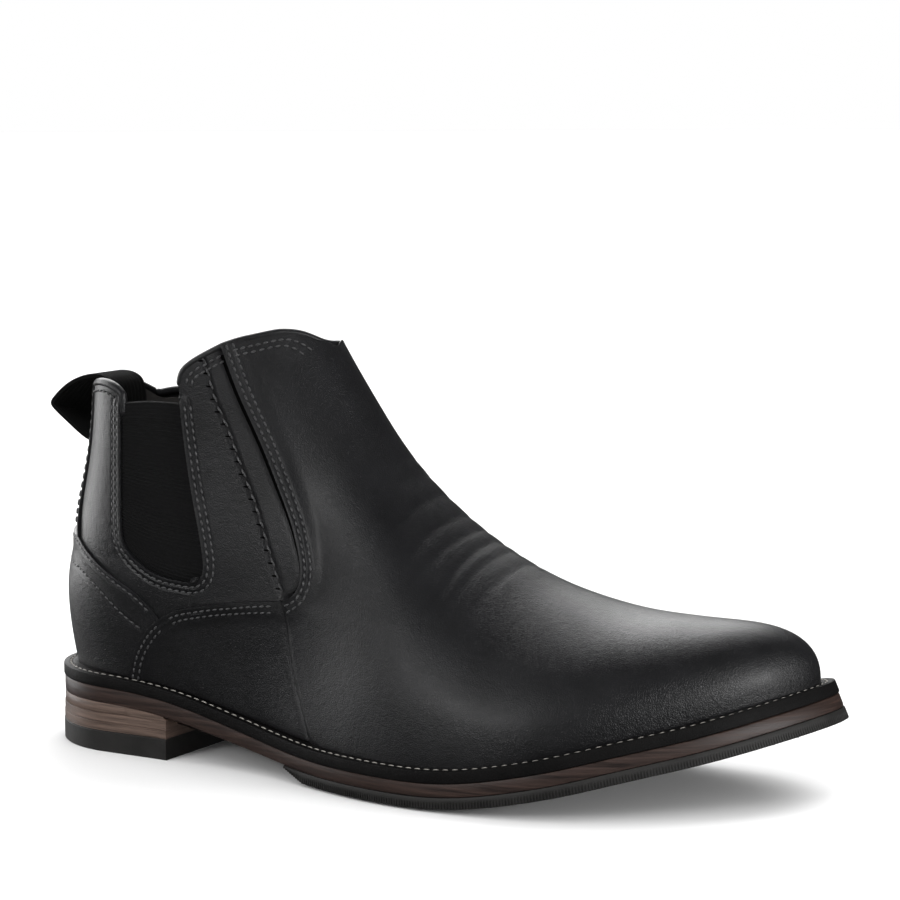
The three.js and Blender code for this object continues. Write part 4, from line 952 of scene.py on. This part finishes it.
def outline(inset, count=420, start=None):
    """Stations and y of a loop round the sole, closely spaced at the heel and the toe."""
    low = inset if start is None else start
    t = np.linspace(0, 1, count // 2 + 1)
    share = (1 - np.cos(np.pi * t)) / 2 if start is None else np.sin(np.pi / 2 * t)
    xs = low + (SOLE_LENGTH - inset - low) * share
    outer = np.stack([xs, sole_plan(xs, LATERAL, inset)], 1)
    inner = np.stack([xs, sole_plan(xs, MEDIAL, inset)], 1)[::-1]
    loop = np.concatenate([outer, inner[1:-1] if start is None else inner])
    reach = np.concatenate([[0], np.cumsum(np.linalg.norm(np.diff(loop, axis=0), axis=1))])
    at = np.linspace(0, reach[-1], count)
    return np.stack([np.interp(at, reach, loop[:, k]) for k in (0, 1)], 1)


def ring_at(loop, depth):
    """The loop's points at a depth under the top of the welt. The edge slants back at the toe."""
    x, z = under_welt(loop[:, 0], depth)
    x = x - ease(262, SOLE_LENGTH, loop[:, 0]) * (1.4 + 2.4 * (1 - depth / FOREPART_DEPTH))
    return np.stack([x, loop[:, 1], z], 1)


def make_welt():
    """A strip with a stitch groove in its top; the section is (inset, depth) all the way round."""
    groove = [(3.3, 0.0), (2.9, 0.35), (2.5, 0.35), (2.1, 0.0)]
    outer_edge = [(0.5, 0.0), (0.12, 0.15), (0.0, 0.5), (0.0, 3.9), (0.12, 4.25), (0.5, WELT_THICK)]
    inner_edge = [(13.6, WELT_THICK), (14.0, 4.2), (14.0, 0.2), (13.6, 0.0)]
    section = [(6.2, 0.0), *groove, *outer_edge, *inner_edge]
    grid = np.stack([ring_at(outline(inset, 360), depth) for inset, depth in section], 1)
    ring_skin("welt_strip", grid, WELT_LEATHER, ["welt"])
    points = ring_at(outline(2.7, 900), 0.28)
    normals = np.tile([0.0, 0.0, 1.0], (len(points), 1))
    stitches("welt_stitching", [(points, normals)], 3.6, (2.5, 0.9, 0.9), WELT_THREAD, 0.06)


def ring_skin(name, grid, material, replaces):
    """A closed ring: grid[i, j] is point j of the section at station i, both wrapping round."""
    stations, points = grid.shape[:2]
    piece, order = start_grid(stations, points)
    lay(piece, order, grid)
    mesh = bmesh.new()
    mesh.from_mesh(piece.data)
    mesh.verts.ensure_lookup_table()
    at = [[mesh.verts[int(order[i * points + j])] for j in range(points)] for i in range(stations)]
    for i in range(stations):
        n = (i + 1) % stations
        mesh.faces.new((at[i][-1], at[i][0], at[n][0], at[n][-1]))
    for j in range(points - 1):
        mesh.faces.new((at[-1][j], at[-1][j + 1], at[0][j + 1], at[0][j]))
    bmesh.ops.remove_doubles(mesh, verts=mesh.verts, dist=2e-6)
    bmesh.ops.recalc_face_normals(mesh, faces=mesh.faces)
    mesh.to_mesh(piece.data)
    mesh.free()
    return finish_mesh(piece, name, material, "boot", replaces)


def slab(name, rings, material, replaces=(), angle=38):
    """A closed plate over loops of points, one loop at each level; the first and last are filled."""
    return skin(name, np.stack(rings, 0), material, "boot", replaces, angle)


def midsole_depth(x):
    return 9.2 + 1.2 * (1 - ease(60, 120, x))


def layer_rings(loop_at, steps, top, bottom):
    """Loops of a plate with softened edges. steps are (inset, share of the way from top to bottom)."""
    rings = []
    for inset, share in steps:
        loop = loop_at(inset)
        depth = top(loop[:, 0]) * (1 - share) + bottom(loop[:, 0]) * share
        rings.append(ring_at(loop, depth))
    return rings


def make_midsole():
    steps = [(3.0, 0.0), (0.9, 0.0), (0.55, 0.04), (0.4, 0.12), (0.34, 0.5), (0.4, 0.88), (0.55, 0.96),
             (0.9, 1.0), (3.0, 1.0)]
    rings = layer_rings(outline, steps, lambda x: MIDSOLE_TOP + 0 * x, midsole_depth)
    slab("midsole_leather", rings, MIDSOLE_EDGE, ["midsole"])


OUTSOLE_START = 121.0


def outsole_bottom(x):
    """Depth of the rubber's underside, thin where it starts under the waist."""
    return 9.4 + 0.8 + 3.2 * np.clip((x - OUTSOLE_START) / 9, 0, 1)


def make_outsole():
    """Rubber forepart with fine upright teeth round its edge."""
    count, per_tooth = 2400, 6

    def top(x):
        return OUTSOLE_TOP + 0 * x

    def loop_at(inset):
        return outline(inset, count, OUTSOLE_START)

    rings = layer_rings(loop_at, [(3.0, 0.0), (0.5, 0.0), (0.25, 0.1), (0.2, 0.35)], top, outsole_bottom)
    tooth = (np.arange(count) % per_tooth < per_tooth / 2)[:, None]
    toothed = np.where(tooth, loop_at(0.2), loop_at(0.6))
    for share in (0.6, 0.94):
        depth = OUTSOLE_TOP * (1 - share) + outsole_bottom(toothed[:, 0]) * share
        rings.append(ring_at(toothed, depth))
    rings += layer_rings(loop_at, [(1.0, 1.0), (5.0, 1.0)], top, outsole_bottom)
    slab("outsole_rubber", rings, RUBBER, ["outsole_forepart"], 30)


def make_tread():
    """Rows of low slanted bars on the underside of the forepart."""
    row_pitch, bar_pitch, margin, half_length, lean = 5.2, 7.5, 10.0, 1.55, 0.9
    levels = ((0.3, 1.0), (-0.45, 1.0), (-0.58, 0.86))      # how deep in the rubber, and how full
    corners = ((-1, -1), (1, -1), (1, 1), (-1, 1))
    points, faces = [], []
    for x in np.arange(OUTSOLE_START + 14, SOLE_LENGTH - 12, row_pitch):
        low, high = (float(sole_plan(x, side, margin)) for side in (LATERAL, MEDIAL))
        count = max(int((high - low) / bar_pitch), 1)
        for k in range(count):
            y = low + (k + 0.5) * (high - low) / count
            slant = 1.1 if k % 2 else -1.1
            half_y = (high - low) / count * 0.42
            base = len(points)
            for sunk, grow in levels:
                for cx, cy in corners:
                    px = x + cx * half_length * grow + slant * cy * lean
                    ux, uz = under_welt(px, float(outsole_bottom(px)) - sunk)
                    points.append((float(ux), y + cy * half_y * grow, float(uz)))
            for ring in (0, 4):
                for c in range(4):
                    n = (c + 1) % 4
                    faces.append((base + ring + c, base + ring + n, base + ring + 4 + n, base + ring + 4 + c))
            faces.append(tuple(base + 8 + c for c in range(4)))
            faces.append(tuple(base + c for c in (3, 2, 1, 0)))
    mesh = bpy.data.meshes.new("tread_bars")
    mesh.from_pydata(place(points).tolist(), [], faces)
    built = bmesh.new()
    built.from_mesh(mesh)
    bmesh.ops.recalc_face_normals(built, faces=built.faces)
    built.to_mesh(mesh)
    built.free()
    piece = bpy.data.objects.new("tread_bars", mesh)
    bpy.context.scene.collection.objects.link(piece)
    finish_mesh(piece, "tread_bars", RUBBER, "boot")


HEEL_BREAST = 64.0
TOP_PIECE = 7.8
HEEL_GAP = 0.05                          # between one lift and the next


def heel_loop(inset):
    """Level outline of the heel: round behind, straight across the breast."""
    t = np.linspace(0, 1, 141)
    xs = inset + (HEEL_BREAST - inset) * (1 - np.cos(np.pi / 2 * t))
    outer = np.stack([xs, sole_plan(xs, LATERAL, inset)], 1)
    inner = np.stack([xs, sole_plan(xs, MEDIAL, inset)], 1)
    return np.concatenate([inner[::-1], outer[1:]])


def heel_plate(name, low, high, material, replaces, flare, soft=0.35):
    """One layer of the heel between two heights, its edges softened."""
    rings = []
    for inset, z in ((3.0, high), (soft, high), (0.0, high - soft),
                     (0.0, low + soft), (soft, low), (3.0, low)):
        loop = heel_loop(0.5 - flare + inset)
        rings.append(np.stack([loop[:, 0], loop[:, 1], np.full(len(loop), z)], 1))
    slab(name, rings, material, replaces)


def make_heel():
    stack_top = float(under_welt(HEEL_BREAST, midsole_depth(HEEL_BREAST) + 0.2)[1])
    lift_top = stack_top - 1.2
    lift = (lift_top - TOP_PIECE) / 2
    heel_plate("heel_rubber", 0.0, TOP_PIECE, RUBBER, ["heel_top_piece"], 0.7)
    heel_plate("heel_lift_lower_leather", TOP_PIECE + HEEL_GAP, TOP_PIECE + lift - HEEL_GAP, STACK,
               ["heel_lift_lower"], 0.5, 0.12)
    heel_plate("heel_lift_upper_leather", TOP_PIECE + lift, TOP_PIECE + 2 * lift - HEEL_GAP, STACK,
               ["heel_lift_upper"], 0.35, 0.12)
    rings = []
    for inset, share in ((3.0, 1.0), (0.1, 1.0), (0.0, 0.96), (0.0, 0.04), (0.1, 0.0), (3.0, 0.0)):
        loop = heel_loop(0.4 + inset)
        top_x, top_z = under_welt(loop[:, 0], midsole_depth(loop[:, 0]) - 0.05)
        z = (TOP_PIECE + 2 * lift) * (1 - share) + top_z * share
        rings.append(np.stack([loop[:, 0] * (1 - share) + top_x * share, loop[:, 1], z], 1))
    slab("heel_wedge_leather", rings, STACK, ["heel_wedge"])


def make_sock():
    """Footbed seen through the collar."""
    start, end = 11.5, 285
    xs = start + (end - start) * (1 - np.cos(np.pi * np.linspace(0, 1, 90))) / 2

    def loop_at(inset):
        heel_end = float(back(SEAT))
        stretched = heel_end + (TOE_END - heel_end) * (xs - start) / (end - start)
        halves = []
        for side in (LATERAL, MEDIAL):
            line = outer_line(xs) if side < 0 else inner_line(xs)
            straight = np.abs(line - centre(xs))
            half = half_breadth(stretched, welt_top(stretched) + 4, side) * (1 - (6.0 + inset) / straight)
            halves.append(np.stack([xs, centre(xs) + side * half], 1))
        return np.concatenate([halves[0], halves[1][::-1][1:-1]])

    rings = []
    for inset, height in ((0.0, 2.9), (0.0, 5.2), (0.3, 5.6), (1.0, 5.8), (6.0, 5.8)):
        loop = loop_at(inset)
        x, z = under_welt(loop[:, 0], -height)
        rings.append(np.stack([x, loop[:, 1], z], 1))
    slab("sock_leather", rings, LINING_HIDE, ["sock_liner"])


# ---------- pull loop ----------
def make_pull_loop():
    """One length of ribbed webbing: sewn down outside, twisted as it folds over, and laid down inside the
    lining.
    The route is that of its outer edge, (x, height above the seat) from the outer tail to the inner one."""
    width, thick, ribs, rib_height, flush = 20.0, 1.5, 9, 0.16, 0.1
    route = [(16.8, 84.0), (14.0, 83.8), (5.6, 89.0), (-1.9, 94.8), (-2.8, 96.4), (-1.2, 98.6), (2.4, 101.8),
             (7.6, 105.0), (14.2, 107.0), (20.0, 106.9), (24.2, 104.6), (25.4, 100.5), (25.8, 95), (26.6, 86)]
    points = np.array([(x, SEAT + up) for x, up in route])
    reach = np.concatenate([[0], np.cumsum(np.linalg.norm(np.diff(points, axis=0), axis=1) ** 0.5)])
    t = np.linspace(0, reach[-1], 141)
    path = np.stack([fair(np.stack([reach, points[:, k]], 1))(t) for k in (0, 1)], 1)
    run = np.gradient(path, axis=0)
    run /= np.linalg.norm(run, axis=1, keepdims=True)
    share = np.arange(len(path)) / (len(path) - 1)
    twist = ease(0.05, 0.24, share) * (1 - ease(0.38, 0.58, share))
    middle = float(centre(back(SEAT + BACK_RIM)))
    across = np.linspace(-1, 1, ribs * 4 + 1)
    swell = [rib_height * abs(math.sin(math.pi * (u + 1) / 2 * ribs)) for u in across]
    section = [(u * width / 2, thick / 2 + rise - flush) for u, rise in zip(across, swell)]
    section += [(a, -h) for a, h in section[::-1]]
    rings = []
    for p, d, turn in zip(path, run, twist):
        side_way = np.array([0.24 * turn, 1.0, -0.32 * turn])
        side_way /= np.linalg.norm(side_way)
        normal = np.array([-d[1], 0.0, d[0]])
        outer_edge = np.array([p[0], middle - width / 2, p[1]])
        rings.append([outer_edge + side_way * (a + width / 2) + normal * b for a, b in section])
    piece = skin("pull_loop_webbing", np.array(rings), WEBBING, None,
                 ["pull_loop_bight", "pull_loop_inner_tail", "pull_loop_outer_tail"], 50)
    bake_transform(piece)
    sew_pull_loop(middle)


def sew_pull_loop(middle):
    """A box of stitches through the outer tail."""
    half_box, surface = 7.5, float(back(SEAT + 86)) - 3.3
    rows = []
    for offset in (-half_box, half_box):
        rows.append([(surface, middle + offset, SEAT + up) for up in np.linspace(85, 90, 8)])
    for up in (85.2, 89.6):
        rows.append([(surface, middle + o, SEAT + up) for o in np.linspace(-half_box, half_box, 12)])
    rows = [(np.array(row), np.tile([-1.0, 0.0, 0.15], (len(row), 1))) for row in rows]
    stitches("pull_loop_stitching", rows, 2.6, (2.2, 0.7, 0.6), BLACK_THREAD)


# ---------- what stays as built in the frame ----------
def dress_hidden_parts():
    looks = {"insole_board": BOARD, "heel_stiffener": BOARD, "toe_puff": BOARD, "cork_filler": CORK,
             "steel_shank": STEEL}
    for i in range(1, 6):
        looks[f"heel_nail_{i}"] = STEEL
    for name, material in looks.items():
        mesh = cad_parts[name].data
        mesh.materials.clear()
        mesh.materials.append(material)


# ---------- stage ----------
def make_stage():
    """White floor and backdrop, four softboxes, one sun for gloss only and two for the leather's own tone."""
    bpy.ops.object.select_all(action="DESELECT")
    bpy.context.scene.view_settings.view_transform = "Standard"
    bpy.ops.mesh.primitive_plane_add(size=40, location=(0, 0, 0))
    floor = bpy.context.object
    floor.name = "floor"
    floor.data.materials.append(new_material("pale_floor", (0.86, 0.86, 0.86), 0.7, 0.2)[0])
    floor.visible_glossy = False
    world = bpy.data.worlds.new("studio")
    bpy.context.scene.world = world
    world.use_nodes = True
    tree = world.node_tree
    room = tree.nodes["Background"]
    room.inputs["Color"].default_value = (1, 1, 1, 1)
    room.inputs["Strength"].default_value = 0.06
    backdrop = node(tree, "ShaderNodeBackground", {"Color": (1, 1, 1, 1), "Strength": 1.0})
    seen = tree.nodes.new("ShaderNodeLightPath").outputs["Is Camera Ray"]
    mix = tree.nodes.new("ShaderNodeMixShader")
    tree.links.new(seen, mix.inputs[0])
    tree.links.new(room.outputs[0], mix.inputs[1])
    tree.links.new(backdrop.outputs[0], mix.inputs[2])
    tree.links.new(mix.outputs[0], tree.nodes["World Output"].inputs["Surface"])
    lamps = {"toe_softbox": ((1.6, -0.18, 0.33), (0.13, 0, 0.04), 0.38, 13.0),
             "front_softbox": ((-0.41, -1.44, 0.67), (0.05, -0.05, 0.03), 0.34, 5.0),
             "side_softbox": ((-0.75, -1.5, 1.1), (-0.05, 0, 0.08), 1.0, 3.5),
             "heel_softbox": ((-1.5, 0.1, 0.3), (-0.1, 0, 0.06), 1.0, 12.0)}
    for name, (spot, aim, size, power) in lamps.items():
        lamp = light(name, "AREA", spot, aim, power)
        lamp.data.shape = "SQUARE"
        lamp.data.size = size
    suns = {"ceiling_light": ((-1.0, 1.15, 0.95), 2.1, 45, True, False),
            "back_light": ((0.1, 0.9, 1.2), 2.3, 45, False, True),
            "floor_fill": ((0.5, -0.9, 1.4), 3.0, 110, False, True)}
    for name, (spot, strength, spread, in_gloss, in_tone) in suns.items():
        lamp = light(name, "SUN", spot, (0, 0, 0), strength)
        lamp.data.angle = math.radians(spread)
        lamp.visible_glossy = in_gloss
        lamp.visible_diffuse = in_tone


def light(name, kind, spot, aim, power):
    bpy.ops.object.light_add(type=kind, location=spot)
    lamp = bpy.context.object
    lamp.name = name
    lamp.data.energy = power
    lamp.rotation_euler = (Vector(aim) - Vector(spot)).to_track_quat("-Z", "Y").to_euler()
    return lamp


def make_camera():
    azimuth, elevation, roll = math.radians(29.3), math.radians(9.75), math.radians(-0.2)
    distance = 1.05
    target = Vector(place([150, 0, 60]))
    back_way = Vector((math.sin(azimuth) * math.cos(elevation), -math.cos(azimuth) * math.cos(elevation),
                       math.sin(elevation)))
    camera = bpy.data.objects.new("camera", bpy.data.cameras.new("camera"))
    bpy.context.scene.collection.objects.link(camera)
    camera.location = target + back_way * distance
    turn = (-back_way).to_track_quat("-Z", "Y").to_matrix().to_4x4()
    camera.rotation_euler = turn.to_euler()
    camera.rotation_euler.rotate_axis("Z", roll)
    camera.data.lens = 117.4
    camera.data.sensor_width = 36
    camera.data.shift_x = 0.0294
    camera.data.shift_y = 0.168
    camera.data.clip_start = 0.05
    camera.data.clip_end = 20
    bpy.context.scene.camera = camera


make_vamp()
make_sides()
make_back()
make_collar_edges()
make_vamp_edge_shadow()
make_upper_stitching()
make_lock_seam()
make_welt()
make_midsole()
make_outsole()
make_tread()
make_heel()
make_sock()
make_pull_loop()
dress_hidden_parts()
make_stage()
make_camera()
